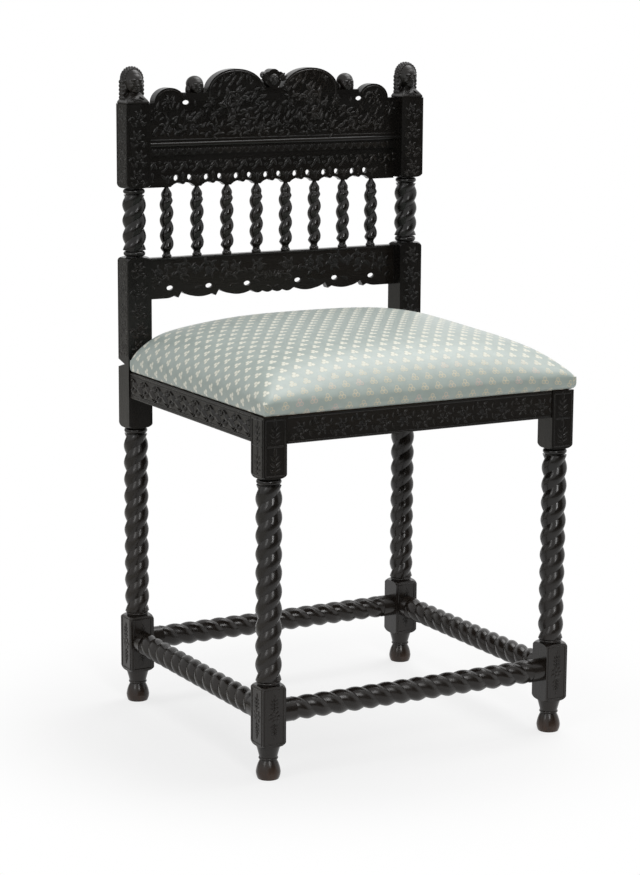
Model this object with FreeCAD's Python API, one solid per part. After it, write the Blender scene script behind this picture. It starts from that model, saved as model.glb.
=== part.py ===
import FreeCAD, Part
import math
import os

Vec = FreeCAD.Vector
UP = Vec(0, 0, 1)

# Millimetres. +Z is up, the chair's front faces -Y, the origin is on the floor under its middle.

# Leg places and timber sections
LEG_SPACING_X = 438.0
LEG_SPACING_Y = 398.0
LEG_BLOCK = 34.0
POST_WIDTH = 36.0
POST_DEPTH = 34.0

# Heights above the floor
FOOT_TOP = 45.0
LOW_BLOCK_TOP = 126.0
SEAT_TOP = 478.0
SEAT_BLOCK_HEIGHT = 80.0
BACK_BLOCK_TOP = 637.0
CREST_BLOCK_BOTTOM = 733.0
CREST_BLOCK_TOP = 848.0

# Turned and twisted work
SHOULDER_HEIGHT = 5.0
SHOULDER_INSET = 0.8
COLLAR_HEIGHT = 10.0
FOOT_COLLAR_HEIGHT = 5.6
LEG_ROPE_RADIUS = 17.2
LEG_ROPE_GROOVE = 13.6
LEG_ROPE_LEAD = 48.5
BACK_ROPE_RADIUS = 16.4
BACK_ROPE_GROOVE = 12.5
BACK_ROPE_LEAD = 43.5
BUN_RADIUS = 16.2
BUN_HEIGHT = 26.0
BUN_WIDEST = 9.0
BUN_BASE_RADIUS = 14.0
FOOT_NECK_RADIUS = 10.5
FOOT_RING_RADIUS = 12.8
FOOT_RING_HEIGHT = 3.2

# Stretchers
STRETCHER_Z = 88.0
STRETCHER_RADIUS = 16.0
STRETCHER_GROOVE = 12.8
STRETCHER_LEAD = 48.0
STRETCHER_END = 18.0
STRETCHER_END_RADIUS = 15.6
STRETCHER_TENON_RADIUS = 6.0
STRETCHER_TENON_LENGTH = 10.0

# Seat rails
RAIL_HEIGHT = 36.0
RAIL_THICKNESS = 22.0
REAR_RAIL_DEPTH = 46.0
RAIL_RECESS = 1.5
RAIL_TENON_THICKNESS = 8.0
RAIL_TENON_LENGTH = 13.0
RAIL_TENON_SHOULDER = 6.0
GLUE_BLOCK_REACH = 34.0
GLUE_BLOCK_HEIGHT = 24.0
GLUE_BLOCK_DROP = 8.0

# Back boards, measured from the posts' rear face and from the floor
BOARD_SETBACK = 2.0
BACK_RAIL_THICKNESS = 12.0
BACK_RAIL_BOTTOM = 575.5
BACK_RAIL_HEIGHT = 57.5
BACK_RAIL_TENON_HEIGHT = 36.0
FRIEZE_THICKNESS = 10.0
FRIEZE_BOTTOM = 731.0
FRIEZE_TENON_HEIGHT = 22.0
MOULDING_BOTTOM = 787.0
MOULDING_HEIGHT = 7.0
MOULDING_PROJECTION = 3.5
FASCIA_HEIGHT = 12.0
FASCIA_THICKNESS = 3.0
CREST_THICKNESS = 15.0
CREST_TENON_HEIGHT = 22.0
BOARD_TENON_THICKNESS = 6.0
BOARD_TENON_LENGTH = 13.0

# Pierced and shaped edges of the back boards, across in shares of half the width between the posts
RAIL_PEAKS = (0.428, 0.721)
RAIL_PEAK_RISE = 8.5
RAIL_BARB_SHARE = 0.025
RAIL_BARB_ROOT = 0.055
RAIL_BARB_RISE = 3.2
RAIL_SCALLOP_SHARE = 0.08
RAIL_SCALLOP_RISE = 3.0
RAIL_LOBE_START = 0.174
RAIL_LOBE_RISE = 4.5
RAIL_FLAT_START = 0.841
RAIL_HOLES = (0.204, 0.5075, 0.811)
RAIL_HOLE_SHARE = 0.0525
RAIL_HOLE_HEIGHT = 6.6
RAIL_HOLE_RISE = 14.5
FRINGE_RISE = 5.8
FRINGE_BUD_DROP = 2.4
FRINGE_BUD_SHARE = 0.085
FRINGE_HOLE_SPREAD = 0.223
FRINGE_HOLE_RISE = 12.8
FRINGE_HOLE_LENGTH = 0.178
FRINGE_HOLE_SHARE = 0.142
FRINGE_HOLE_TURN = 28.0
PIERCING_LIP = 3.0
PIERCING_SPLAY = 0.55

# Crest outline, heights from the posts' tops, across in shares of half the width between the posts
BIG_ARCH_SHARE = 0.296
BIG_ARCH_HALF_SHARE = 0.2214
BIG_ARCH_SPRING = 14.0
BIG_ARCH_RISE = 31.0
SMALL_ARCH_SHARE = 0.811
SMALL_ARCH_HALF_SHARE = 0.1195
SMALL_ARCH_RISE = 20.5
KNOB_SHARE = 0.599
KNOB_RADIUS = 7.6
KNOB_RISE = 26.5
KNOB_NECK_RADIUS = 5.5
KNOB_VALLEY_RISE = 13.0
CREST_HOLE_SHARE = 0.689
CREST_HOLE_WIDTH_SHARE = 0.0525
CREST_HOLE_HEIGHT = 6.0
MASK_VALLEY_RISE = 18.0
MASK_RISE = 30.0
MASK_WIDTH = 23.0
MASK_HEIGHT = 28.0
MASK_WING_RISE = 35.0
MASK_WING_X = 10.0
MASK_WING_RADIUS = 5.0

# Spindles
SPINDLE_COUNT = 8
SPINDLE_END_GAP = 36.0
SPINDLE_RADIUS = 8.9
SPINDLE_STRAND = 7.4
SPINDLE_TAPER = 5.0
SPINDLE_LEAD = 19.8
SPINDLE_BASE = 9.0
SPINDLE_CAP = 12.0
SPINDLE_RING_RADIUS = 6.2
SPINDLE_NECK_RADIUS = 4.4
SPINDLE_TIP_RADIUS = 2.9
SPINDLE_DOWEL_RADIUS = 2.5
SPINDLE_DOWEL_LENGTH = 8.0

# Finials and the notch above the seat in the rear posts
FINIAL_HEAD_WIDTH = 28.0
FINIAL_HEAD_DEPTH = 29.0
FINIAL_HEAD_HEIGHT = 35.5
FINIAL_HEIGHT = 50.0
FINIAL_NECK_RADIUS = 8.5
FINIAL_BUST_HEIGHT = 14.0
FINIAL_CURL_RADIUS = 4.4
FINIAL_CURLS = 4
FINIAL_DOWEL_RADIUS = 5.0
FINIAL_DOWEL_LENGTH = 16.0
NOTCH_DEPTH = 21.0
NOTCH_HEIGHT = 11.0
NOTCH_RISE = 4.5

# Lift-off upholstered seat
SEAT_INSET_SIDE = 1.5
SEAT_INSET_FRONT = 1.5
SEAT_REAR_GAP = 3.5
SEAT_FRAME_WIDTH = 48.0
SEAT_FRAME_THICKNESS = 10.0
SEAT_TENON_THICKNESS = 4.0
SEAT_TENON_LENGTH = 18.0
COVER_THICKNESS = 1.4
COVER_LIFT = 0.5
COVER_EDGE = 12.0
CROWN_HEIGHT = 82.0
SHOULDER_WIDTH = 58.0
EDGE_FULLNESS = 0.18
REAR_BIAS = 1.25
CROWN_POWER = 0.55
SIDE_DRAW_IN = 2.5
WEBBING_WIDTH = 50.0
WEBBING_THICKNESS = 1.2
WEBBING_SPACING = 88.0
WEBBING_COUNT = 3
WEBBING_LAP = 30.0
HESSIAN_THICKNESS = 0.8
HESSIAN_LAP = 36.0
DUST_THICKNESS = 0.8
DUST_LAP = 22.0
DUST_CLEAT_GAP = 3.0
CLEAT_WIDTH = 16.0
CLEAT_HEIGHT = 10.0
CLEAT_LENGTH = 200.0
CLEAT_GAP = 4.0

# Clearances
TENON_PLAY = 0.15
TENON_END_PLAY = 0.5
GLUE_BLOCK_PLAY = 0.3

# Places worked out from the sizes above
LEG_X = LEG_SPACING_X / 2
FRONT_Y = -LEG_SPACING_Y / 2
REAR_Y = LEG_SPACING_Y / 2
FRONT_INNER_X = LEG_X - LEG_BLOCK / 2
REAR_INNER_X = LEG_X - POST_WIDTH / 2
POST_FRONT_Y = REAR_Y - POST_DEPTH / 2
POST_REAR_Y = REAR_Y + POST_DEPTH / 2
BOARD_REAR_Y = POST_REAR_Y - BOARD_SETBACK
BACK_RAIL_TOP = BACK_RAIL_BOTTOM + BACK_RAIL_HEIGHT
SPINDLE_Y = BOARD_REAR_Y - BACK_RAIL_THICKNESS / 2
SPINDLE_SPACING = 2 * (REAR_INNER_X - SPINDLE_END_GAP) / (SPINDLE_COUNT - 1)
BIG_ARCH_X = BIG_ARCH_SHARE * REAR_INNER_X
BIG_ARCH_HALF = BIG_ARCH_HALF_SHARE * REAR_INNER_X
SMALL_ARCH_X = SMALL_ARCH_SHARE * REAR_INNER_X
SMALL_ARCH_HALF = SMALL_ARCH_HALF_SHARE * REAR_INNER_X
KNOB_X = KNOB_SHARE * REAR_INNER_X
CREST_HOLE_X = CREST_HOLE_SHARE * REAR_INNER_X
CREST_BOTTOM = MOULDING_BOTTOM + MOULDING_HEIGHT
RAIL_BOTTOM = SEAT_TOP - RAIL_HEIGHT
SEAT_BLOCK_BOTTOM = SEAT_TOP - SEAT_BLOCK_HEIGHT
SIDES = {"left": -1, "right": 1}


def box(x0, x1, y0, y1, z0, z1):
    low = Vec(min(x0, x1), min(y0, y1), min(z0, z1))
    return Part.makeBox(abs(x1 - x0), abs(y1 - y0), abs(z1 - z0), low)


def rod(start, axis, radius, length):
    return Part.makeCylinder(radius, length, start, axis)


def ellipsoid(centre, width, depth, height):
    ball = Part.makeSphere(0.5)
    grow = FreeCAD.Matrix()
    grow.scale(Vec(width, depth, height))
    solid = ball.transformGeometry(grow)
    solid.translate(centre)
    return solid


def turned(profile):
    """Solid of revolution about Z: (r, z) is a corner, four numbers an arc through the first two."""
    points = [Vec(p[-2], 0, p[-1]) for p in profile]
    edges = [Part.makeLine(Vec(0, 0, points[0].z), points[0])]
    for start, end, step in zip(points, points[1:], profile[1:]):
        if len(step) == 4:
            edges.append(Part.Arc(start, Vec(step[0], 0, step[1]), end).toShape())
        else:
            edges.append(Part.makeLine(start, end))
    edges.append(Part.makeLine(points[-1], Vec(0, 0, points[-1].z)))
    edges.append(Part.makeLine(Vec(0, 0, points[-1].z), Vec(0, 0, points[0].z)))
    return Part.Face(Part.Wire(edges)).revolve(Vec(0, 0, 0), UP, 360)


def sweep_twisted(section, z0, z1, lead, guide_radius):
    """Right-handed twist: the section is carried up the axis while a helix guides its turning."""
    spine = Part.Wire(Part.makeLine(Vec(0, 0, z0), Vec(0, 0, z1)))
    helix = Part.makeHelix(lead, z1 - z0, guide_radius)
    helix.translate(Vec(0, 0, z0))
    pipe = Part.BRepOffsetAPI.MakePipeShell(spine)
    pipe.setAuxiliarySpine(Part.Wire(helix.Edges), True, 0)
    pipe.add(section)
    pipe.build()
    pipe.makeSolid()
    return pipe.shape()


def rope(outer, groove, z0, z1, lead):
    """Two round strands side by side, twisted together, as on the legs."""
    inner_reach = groove ** 2 / outer
    radius = (outer + inner_reach) / 2
    top = Vec(0, groove, z0)
    bottom = Vec(0, -groove, z0)
    reach = outer
    right = Part.Arc(bottom, Vec(reach, 0, z0), top).toShape()
    left = Part.Arc(top, Vec(-reach, 0, z0), bottom).toShape()
    return sweep_twisted(Part.Wire([right, left]), z0, z1, lead, 2 * radius)


def corkscrew(outer, strand, z0, z1, lead):
    """One round strand wound about the axis, as on the spindles."""
    ring = Part.makeCircle(strand, Vec(outer - strand, 0, z0), UP)
    return sweep_twisted(Part.Wire(ring), z0, z1, lead, 2 * outer)


def block(width, depth, z0, z1):
    """Square length of a leg, its ends turned down to rounded shoulders."""
    corner = math.hypot(width, depth) / 2
    end = min(width, depth) / 2 + SHOULDER_INSET
    middle = (end + corner) / 2 + SHOULDER_INSET
    rise = SHOULDER_HEIGHT / 3
    limits = turned([
        (end, z0),
        (middle, z0 + rise, corner, z0 + SHOULDER_HEIGHT),
        (corner, z1 - SHOULDER_HEIGHT),
        (middle, z1 - rise, end, z1)])
    return box(-width / 2, width / 2, -depth / 2, depth / 2, z0, z1).common(limits)


def collar(radius, z0, z1):
    """A bead between two fillets."""
    third = (z1 - z0) / 3
    fillet = radius - third / 2
    neck = radius - third
    return turned([
        (fillet, z0),
        (fillet, z0 + third / 2),
        (neck, z0 + third / 2),
        (radius + third / 2, z0 + 1.5 * third, neck, z1 - third / 2),
        (fillet, z1 - third / 2),
        (fillet, z1)])


def twisted_length(outer, groove, z0, z1, lead, low_collar):
    low = collar(groove + 1, z0, z0 + low_collar)
    high = collar(groove + 1, z1 - COLLAR_HEIGHT, z1)
    middle = rope(outer, groove, z0 + low_collar, z1 - COLLAR_HEIGHT, lead)
    return [low, middle, high]


def foot():
    """Onion-shaped bun, a neck, a ring and a hollow flare up to the square block."""
    ring_top = BUN_HEIGHT + FOOT_RING_HEIGHT
    flare = LEG_BLOCK / 2 - SHOULDER_INSET
    low = BUN_WIDEST / 2
    high = (BUN_WIDEST + BUN_HEIGHT) / 2
    near_base = BUN_BASE_RADIUS + 0.75 * (BUN_RADIUS - BUN_BASE_RADIUS)
    near_neck = FOOT_NECK_RADIUS + 0.68 * (BUN_RADIUS - FOOT_NECK_RADIUS)
    hollow = FOOT_RING_RADIUS + 0.3 * (flare - FOOT_RING_RADIUS)
    return turned([
        (BUN_BASE_RADIUS, 0),
        (near_base, low, BUN_RADIUS, BUN_WIDEST),
        (near_neck, high, FOOT_NECK_RADIUS, BUN_HEIGHT),
        (FOOT_RING_RADIUS - 1, BUN_HEIGHT),
        (FOOT_RING_RADIUS, BUN_HEIGHT + FOOT_RING_HEIGHT / 2, FOOT_RING_RADIUS - 1, ring_top),
        (hollow, (ring_top + FOOT_TOP) / 2, flare, FOOT_TOP)])


def fuse_all(shapes):
    return shapes[0].fuse(shapes[1:])


def lower_leg(width, depth):
    twist = twisted_length(LEG_ROPE_RADIUS, LEG_ROPE_GROOVE, LOW_BLOCK_TOP, SEAT_BLOCK_BOTTOM, LEG_ROPE_LEAD,
                           FOOT_COLLAR_HEIGHT)
    return [foot(), block(width, depth, FOOT_TOP, LOW_BLOCK_TOP)] + twist


def tenon(inner_x, side, y, thickness, z0, z1, length, play=0.0):
    """Flat tenon along X beyond inner_x on the given side; play makes its mortise."""
    end = TENON_END_PLAY if play else 0.0
    half = thickness / 2 + play
    return box(side * inner_x, side * (inner_x + length + end), y - half, y + half, z0 - play, z1 + play)


def turn_to_y(solid):
    """Swaps X and Y for a piece that runs from front to back."""
    swapped = solid.copy()
    swapped.rotate(Vec(0, 0, 0), UP, 90)
    return swapped


def rail_mid_offset(half_outer):
    return half_outer - RAIL_RECESS - RAIL_THICKNESS / 2


def rail_tenon(inner, side, mid, play=0.0):
    return tenon(inner, side, mid, RAIL_TENON_THICKNESS, RAIL_BOTTOM + RAIL_TENON_SHOULDER,
                 SEAT_TOP - RAIL_TENON_SHOULDER, RAIL_TENON_LENGTH, play)


def front_rail():
    half = RAIL_THICKNESS / 2
    y = FRONT_RAIL_Y
    body = box(-FRONT_INNER_X, FRONT_INNER_X, y - half, y + half, RAIL_BOTTOM, SEAT_TOP)
    return fuse_all([body] + [rail_tenon(FRONT_INNER_X, side, y) for side in (-1, 1)]).removeSplitter()


def rear_rail():
    """Deeper than the other rails, so that the seat's rear edge, in front of the posts, rests on it."""
    rear = POST_REAR_Y - RAIL_RECESS
    body = box(-REAR_INNER_X, REAR_INNER_X, REAR_RAIL_FRONT_Y, rear, RAIL_BOTTOM, SEAT_TOP)
    tenons = [rail_tenon(REAR_INNER_X, side, REAR_RAIL_Y) for side in (-1, 1)]
    return fuse_all([body] + tenons).removeSplitter()


FRONT_RAIL_Y = FRONT_Y - rail_mid_offset(LEG_BLOCK / 2)
REAR_RAIL_Y = REAR_Y + rail_mid_offset(POST_DEPTH / 2)
REAR_RAIL_FRONT_Y = POST_REAR_Y - RAIL_RECESS - REAR_RAIL_DEPTH
SIDE_RAIL_X = LEG_X + rail_mid_offset(LEG_BLOCK / 2)
FRONT_INNER_Y = FRONT_Y + LEG_BLOCK / 2


def side_rail_tenon(side, end, play=0.0):
    """End -1 enters the front leg and end +1 the rear post."""
    inner = POST_FRONT_Y if end > 0 else -FRONT_INNER_Y
    return turn_to_y(rail_tenon(inner, end, -side * SIDE_RAIL_X, play))


def side_rail(side):
    half = RAIL_THICKNESS / 2
    x = side * SIDE_RAIL_X
    body = box(x - half, x + half, FRONT_INNER_Y, POST_FRONT_Y, RAIL_BOTTOM, SEAT_TOP)
    return fuse_all([body, side_rail_tenon(side, -1), side_rail_tenon(side, 1)]).removeSplitter()


def stretcher(length):
    """Along Z from its middle, with plain round ends and round tenons."""
    half = length / 2
    twist_half = half - STRETCHER_END
    shapes = [rope(STRETCHER_RADIUS, STRETCHER_GROOVE, -twist_half, twist_half, STRETCHER_LEAD)]
    tenon_length = half + STRETCHER_TENON_LENGTH
    shapes.append(rod(Vec(0, 0, twist_half), UP, STRETCHER_END_RADIUS, STRETCHER_END))
    shapes.append(rod(Vec(0, 0, -half), UP, STRETCHER_END_RADIUS, STRETCHER_END))
    shapes.append(rod(Vec(0, 0, -tenon_length), UP, STRETCHER_TENON_RADIUS, 2 * tenon_length))
    return fuse_all(shapes)


def lay_along_x(solid, y):
    laid = solid.copy()
    laid.rotate(Vec(0, 0, 0), Vec(0, 1, 0), 90)
    laid.translate(Vec(0, y, STRETCHER_Z))
    return laid


def lay_along_y(solid, x):
    laid = solid.copy()
    laid.rotate(Vec(0, 0, 0), Vec(1, 0, 0), -90)
    laid.translate(Vec(x, (FRONT_INNER_Y + POST_FRONT_Y) / 2, STRETCHER_Z))
    return laid


def stretcher_sockets(x, y, side, end, width, depth):
    """Round mortises in a leg at x, y for the stretchers that enter its two inner faces."""
    radius = STRETCHER_TENON_RADIUS + TENON_PLAY
    deep = STRETCHER_TENON_LENGTH + TENON_END_PLAY
    across = rod(Vec(x - side * width / 2, y, STRETCHER_Z), Vec(side, 0, 0), radius, deep)
    along = rod(Vec(x, y - end * depth / 2, STRETCHER_Z), Vec(0, end, 0), radius, deep)
    return [across, along]


def front_leg(side):
    shapes = lower_leg(LEG_BLOCK, LEG_BLOCK)
    shapes.append(block(LEG_BLOCK, LEG_BLOCK, SEAT_BLOCK_BOTTOM, SEAT_TOP + SHOULDER_HEIGHT))
    leg = fuse_all(shapes)
    leg.translate(Vec(side * LEG_X, FRONT_Y, 0))
    cuts = stretcher_sockets(side * LEG_X, FRONT_Y, side, -1, LEG_BLOCK, LEG_BLOCK)
    cuts.append(rail_tenon(FRONT_INNER_X, side, FRONT_RAIL_Y, TENON_PLAY))
    cuts.append(side_rail_tenon(side, -1, TENON_PLAY))
    above = LEG_X + LEG_BLOCK
    cuts.append(box(-above, above, FRONT_Y - LEG_BLOCK, FRONT_Y + LEG_BLOCK, SEAT_TOP, SEAT_TOP + LEG_BLOCK))
    return leg.cut(cuts)


def post_notch(side):
    """V-notch across the outer rear corner of a post, just above the seat."""
    reach = NOTCH_DEPTH / math.sqrt(2)
    out = Vec(side, 1, 0).normalize()
    along = Vec(-side, 1, 0).normalize()
    middle = SEAT_TOP + NOTCH_RISE + NOTCH_HEIGHT / 2
    corner = Vec(side * (LEG_X + POST_WIDTH / 2), POST_REAR_Y, middle)
    apex = corner - out * reach - along * 2 * reach
    base = corner + out * reach - along * 2 * reach
    tall = Vec(0, 0, NOTCH_HEIGHT)
    face = Part.Face(Part.makePolygon([apex, base - tall, base + tall, apex]))
    return face.extrude(along * 4 * reach)


def rear_post(side):
    shapes = lower_leg(POST_WIDTH, POST_DEPTH)
    shapes.append(block(POST_WIDTH, POST_DEPTH, SEAT_BLOCK_BOTTOM, BACK_BLOCK_TOP))
    shapes += twisted_length(BACK_ROPE_RADIUS, BACK_ROPE_GROOVE, BACK_BLOCK_TOP, CREST_BLOCK_BOTTOM,
                             BACK_ROPE_LEAD, COLLAR_HEIGHT)
    shapes.append(block(POST_WIDTH, POST_DEPTH, CREST_BLOCK_BOTTOM, CREST_BLOCK_TOP + SHOULDER_HEIGHT))
    post = fuse_all(shapes)
    x = side * LEG_X
    post.translate(Vec(x, REAR_Y, 0))
    cuts = stretcher_sockets(x, REAR_Y, side, 1, POST_WIDTH, POST_DEPTH)
    cuts.append(rail_tenon(REAR_INNER_X, side, REAR_RAIL_Y, TENON_PLAY))
    cuts.append(side_rail_tenon(side, 1, TENON_PLAY))
    cuts += [maker(side, TENON_PLAY) for maker in (back_rail_tenon, frieze_tenon, crest_tenon)]
    cuts.append(rod(Vec(x, REAR_Y, CREST_BLOCK_TOP - FINIAL_DOWEL_LENGTH - TENON_END_PLAY), UP,
                    FINIAL_DOWEL_RADIUS + TENON_PLAY, FINIAL_DOWEL_LENGTH + POST_DEPTH))
    cuts.append(post_notch(side))
    wide = POST_WIDTH + POST_DEPTH
    top = CREST_BLOCK_TOP
    cuts.append(box(x - wide, x + wide, REAR_Y - wide, REAR_Y + wide, top, top + wide))
    return post.cut(cuts)


def board_tenon(side, thickness, z_mid, height, play):
    y = BOARD_REAR_Y - thickness / 2
    return tenon(REAR_INNER_X, side, y, BOARD_TENON_THICKNESS, z_mid - height / 2, z_mid + height / 2,
                 BOARD_TENON_LENGTH, play)


def back_rail_tenon(side, play=0.0):
    middle = (BACK_RAIL_BOTTOM + BACK_RAIL_TOP) / 2
    return board_tenon(side, BACK_RAIL_THICKNESS, middle, BACK_RAIL_TENON_HEIGHT, play)


def frieze_tenon(side, play=0.0):
    middle = (FRIEZE_BOTTOM + MOULDING_BOTTOM) / 2
    return board_tenon(side, FRIEZE_THICKNESS, middle, FRIEZE_TENON_HEIGHT, play)


def crest_tenon(side, play=0.0):
    middle = CREST_BOTTOM + CREST_TENON_HEIGHT
    return board_tenon(side, CREST_THICKNESS, middle, CREST_TENON_HEIGHT, play)


def spindle_places():
    middle = (SPINDLE_COUNT - 1) / 2
    return [(i - middle) * SPINDLE_SPACING for i in range(SPINDLE_COUNT)]


def oval(x, z, width, height, turn, y):
    """Elliptical cutter that runs back from the given depth, its width turned by the given angle."""
    ring = Part.Ellipse(Vec(0, 0, 0), max(width, height) / 2, min(width, height) / 2).toShape()
    hole = Part.Face(Part.Wire(ring)).extrude(Vec(0, 0, -2 * POST_DEPTH))
    hole.rotate(Vec(0, 0, 0), UP, turn if width > height else turn + 90)
    hole.rotate(Vec(0, 0, 0), Vec(1, 0, 0), 90)
    hole.translate(Vec(x, y, z))
    return hole


def pierced(x, z, width, height, turn, thickness):
    """Oval piercing of a back board, with a thin lip in front and cut wider behind it."""
    front = BOARD_REAR_Y - thickness
    splay = PIERCING_SPLAY * (thickness - PIERCING_LIP)
    wide = oval(x, z, width + 2 * splay, height + splay / 2, turn, front + PIERCING_LIP)
    return [oval(x, z, width, height, turn, front - POST_DEPTH / 2), wide]


def outline_edges(points, y):
    """Edges through (x, z) corners; four numbers are an arc through the first two of them."""
    places = [Vec(p[-2], y, p[-1]) for p in points]
    edges = []
    for start, end, step in zip(places, places[1:], points[1:]):
        if len(step) == 4:
            edges.append(Part.Arc(start, Vec(step[0], y, step[1]), end).toShape())
        else:
            edges.append(Part.makeLine(start, end))
    return edges


def shaped_board(points, thickness):
    edges = outline_edges(points + [points[0]], BOARD_REAR_Y - thickness)
    return Part.Face(Part.Wire(edges)).extrude(Vec(0, thickness, 0))


def spindle_sockets(z, direction):
    radius = SPINDLE_DOWEL_RADIUS + TENON_PLAY
    deep = SPINDLE_DOWEL_LENGTH + TENON_END_PLAY
    return [rod(Vec(x, SPINDLE_Y, z), Vec(0, 0, direction), radius, deep) for x in spindle_places()]


def back_rail_lower_edge():
    """From the middle out to the right post: small scallops, then lobes that end in a peak and a barb."""
    low = BACK_RAIL_BOTTOM
    width = RAIL_SCALLOP_SHARE * REAR_INNER_X
    cusp = low + RAIL_SCALLOP_RISE
    points = [(0, cusp), (width / 2, low, width, cusp), (1.5 * width, low, 2 * width, cusp)]
    start = RAIL_LOBE_START * REAR_INNER_X
    points.append((start, low + RAIL_LOBE_RISE))
    for peak in [share * REAR_INNER_X for share in RAIL_PEAKS]:
        foot_x = start + 0.66 * (peak - start)
        shoulder = low + 0.45 * RAIL_PEAK_RISE
        points.append(((start + foot_x) / 2, low, foot_x, low + RAIL_BARB_RISE / 2))
        points.append(((foot_x + peak) / 2, shoulder, peak, low + RAIL_PEAK_RISE))
        points.append((peak + RAIL_BARB_SHARE * REAR_INNER_X, low))
        start = peak + RAIL_BARB_ROOT * REAR_INNER_X
        points.append((start, low + RAIL_BARB_RISE))
    flat = RAIL_FLAT_START * REAR_INNER_X
    points.append(((start + flat) / 2, low + RAIL_BARB_RISE / 4, flat, low))
    return points + [(REAR_INNER_X, low)]


def mirrored(points):
    """The same outline on the left, running from the post to the middle."""
    ends = [(-p[-2], p[-1]) for p in points]
    vias = [(-p[0], p[1]) if len(p) == 4 else () for p in points]
    return [ends[-1]] + [via + end for via, end in zip(reversed(vias[1:]), reversed(ends[:-1]))]


def back_rail():
    edge = back_rail_lower_edge()
    top = [(REAR_INNER_X, BACK_RAIL_TOP), (-REAR_INNER_X, BACK_RAIL_TOP)]
    board = shaped_board(mirrored(edge) + edge[1:] + top, BACK_RAIL_THICKNESS)
    board = fuse_all([board, back_rail_tenon(-1), back_rail_tenon(1)])
    z = BACK_RAIL_BOTTOM + RAIL_HOLE_RISE
    places = [side * share * REAR_INNER_X for share in RAIL_HOLES for side in (-1, 1)]
    cuts = spindle_sockets(BACK_RAIL_TOP, -1)
    for x in places:
        cuts += pierced(x, z, RAIL_HOLE_SHARE * REAR_INNER_X, RAIL_HOLE_HEIGHT, 0, BACK_RAIL_THICKNESS)
    return board.cut(cuts)


def fringe_edge():
    """Lower edge of the frieze: a pendant over each spindle, with two arches and a bud in each bay."""
    low = FRIEZE_BOTTOM
    high = low + FRINGE_RISE
    flat = SPINDLE_NECK_RADIUS + 0.5
    places = spindle_places()
    bud_half = FRINGE_BUD_SHARE * SPINDLE_SPACING
    arch = (SPINDLE_SPACING / 2 - flat - bud_half) / 2
    points = [(-REAR_INNER_X, low), (places[0] - flat, low)]
    for x in places:
        points.append((x + flat, low))
        if x != places[-1]:
            bud = x + SPINDLE_SPACING / 2
            left = bud - bud_half
            right = bud + bud_half
            points.append((left - arch, high - 1, left, high))
            points.append((bud, high - FRINGE_BUD_DROP, right, high))
            points.append((right + arch, high - 1, x + SPINDLE_SPACING - flat, low))
    return points + [(REAR_INNER_X, low)]


def frieze():
    outline = fringe_edge() + [(REAR_INNER_X, MOULDING_BOTTOM), (-REAR_INNER_X, MOULDING_BOTTOM)]
    board = shaped_board(outline, FRIEZE_THICKNESS)
    board = fuse_all([board, frieze_tenon(-1), frieze_tenon(1)])
    z = FRIEZE_BOTTOM + FRINGE_HOLE_RISE
    cuts = spindle_sockets(FRIEZE_BOTTOM, 1)
    for bay in [x + SPINDLE_SPACING / 2 for x in spindle_places()[:-1]]:
        for side in (-1, 1):
            x = bay + side * FRINGE_HOLE_SPREAD * SPINDLE_SPACING
            width = FRINGE_HOLE_SHARE * SPINDLE_SPACING
            height = FRINGE_HOLE_LENGTH * SPINDLE_SPACING
            cuts += pierced(x, z, width, height, side * FRINGE_HOLE_TURN, FRIEZE_THICKNESS)
    return board.cut(cuts)


def moulding():
    """Shelf between frieze and crest with a rounded nose, and a fascia planted on the frieze."""
    nose = BOARD_REAR_Y - CREST_THICKNESS - MOULDING_PROJECTION
    frieze_front = BOARD_REAR_Y - FRIEZE_THICKNESS
    fascia_front = frieze_front - FASCIA_THICKNESS
    low = MOULDING_BOTTOM
    round_start = nose + MOULDING_HEIGHT / 2
    corners = [(BOARD_REAR_Y, low), (BOARD_REAR_Y, CREST_BOTTOM), (round_start, CREST_BOTTOM)]
    after = [(fascia_front, low), (fascia_front, low - FASCIA_HEIGHT), (frieze_front, low - FASCIA_HEIGHT),
             (frieze_front, low), (BOARD_REAR_Y, low)]
    place = [Vec(-REAR_INNER_X, y, z) for y, z in corners]
    edges = [Part.makeLine(a, b) for a, b in zip(place, place[1:])]
    nose_end = Vec(-REAR_INNER_X, round_start, low)
    edges.append(Part.Arc(place[-1], Vec(-REAR_INNER_X, nose, low + MOULDING_HEIGHT / 2), nose_end).toShape())
    rest = [nose_end] + [Vec(-REAR_INNER_X, y, z) for y, z in after]
    edges += [Part.makeLine(a, b) for a, b in zip(rest, rest[1:])]
    return Part.Face(Part.Wire(edges)).extrude(Vec(2 * REAR_INNER_X, 0, 0))


def crest_disc(x, z, width, height):
    """Elliptical upright disc of the crest's thickness."""
    tall = height > width
    long = max(width, height) / 2
    ring = Part.Ellipse(Vec(0, 0, 0), long, min(width, height) / 2).toShape()
    disc = Part.Face(Part.Wire(ring)).extrude(Vec(0, 0, CREST_THICKNESS))
    if tall:
        disc.rotate(Vec(0, 0, 0), UP, 90)
    disc.rotate(Vec(0, 0, 0), Vec(1, 0, 0), 90)
    disc.translate(Vec(x, BOARD_REAR_Y, z))
    return disc


def crest_arch(x, half, spring, rise):
    """Half-elliptical arch standing on the crest's panel."""
    base = CREST_BLOCK_TOP + spring
    front = BOARD_REAR_Y - CREST_THICKNESS
    top = crest_disc(x, base, 2 * half, 2 * rise)
    stem = box(x - half, x + half, front, BOARD_REAR_Y, CREST_BOTTOM, base)
    above = box(x - 2 * half, x + 2 * half, front - 1, BOARD_REAR_Y + 1, base, base + 2 * rise)
    return [top.common(above), stem]


def crest_knob(x):
    middle = BOARD_REAR_Y - CREST_THICKNESS / 2
    ball = Part.makeSphere(KNOB_RADIUS, Vec(x, middle, CREST_BLOCK_TOP + KNOB_RISE))
    return [ball, rod(Vec(x, middle, CREST_BLOCK_TOP), UP, KNOB_NECK_RADIUS, KNOB_RISE)]


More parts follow.
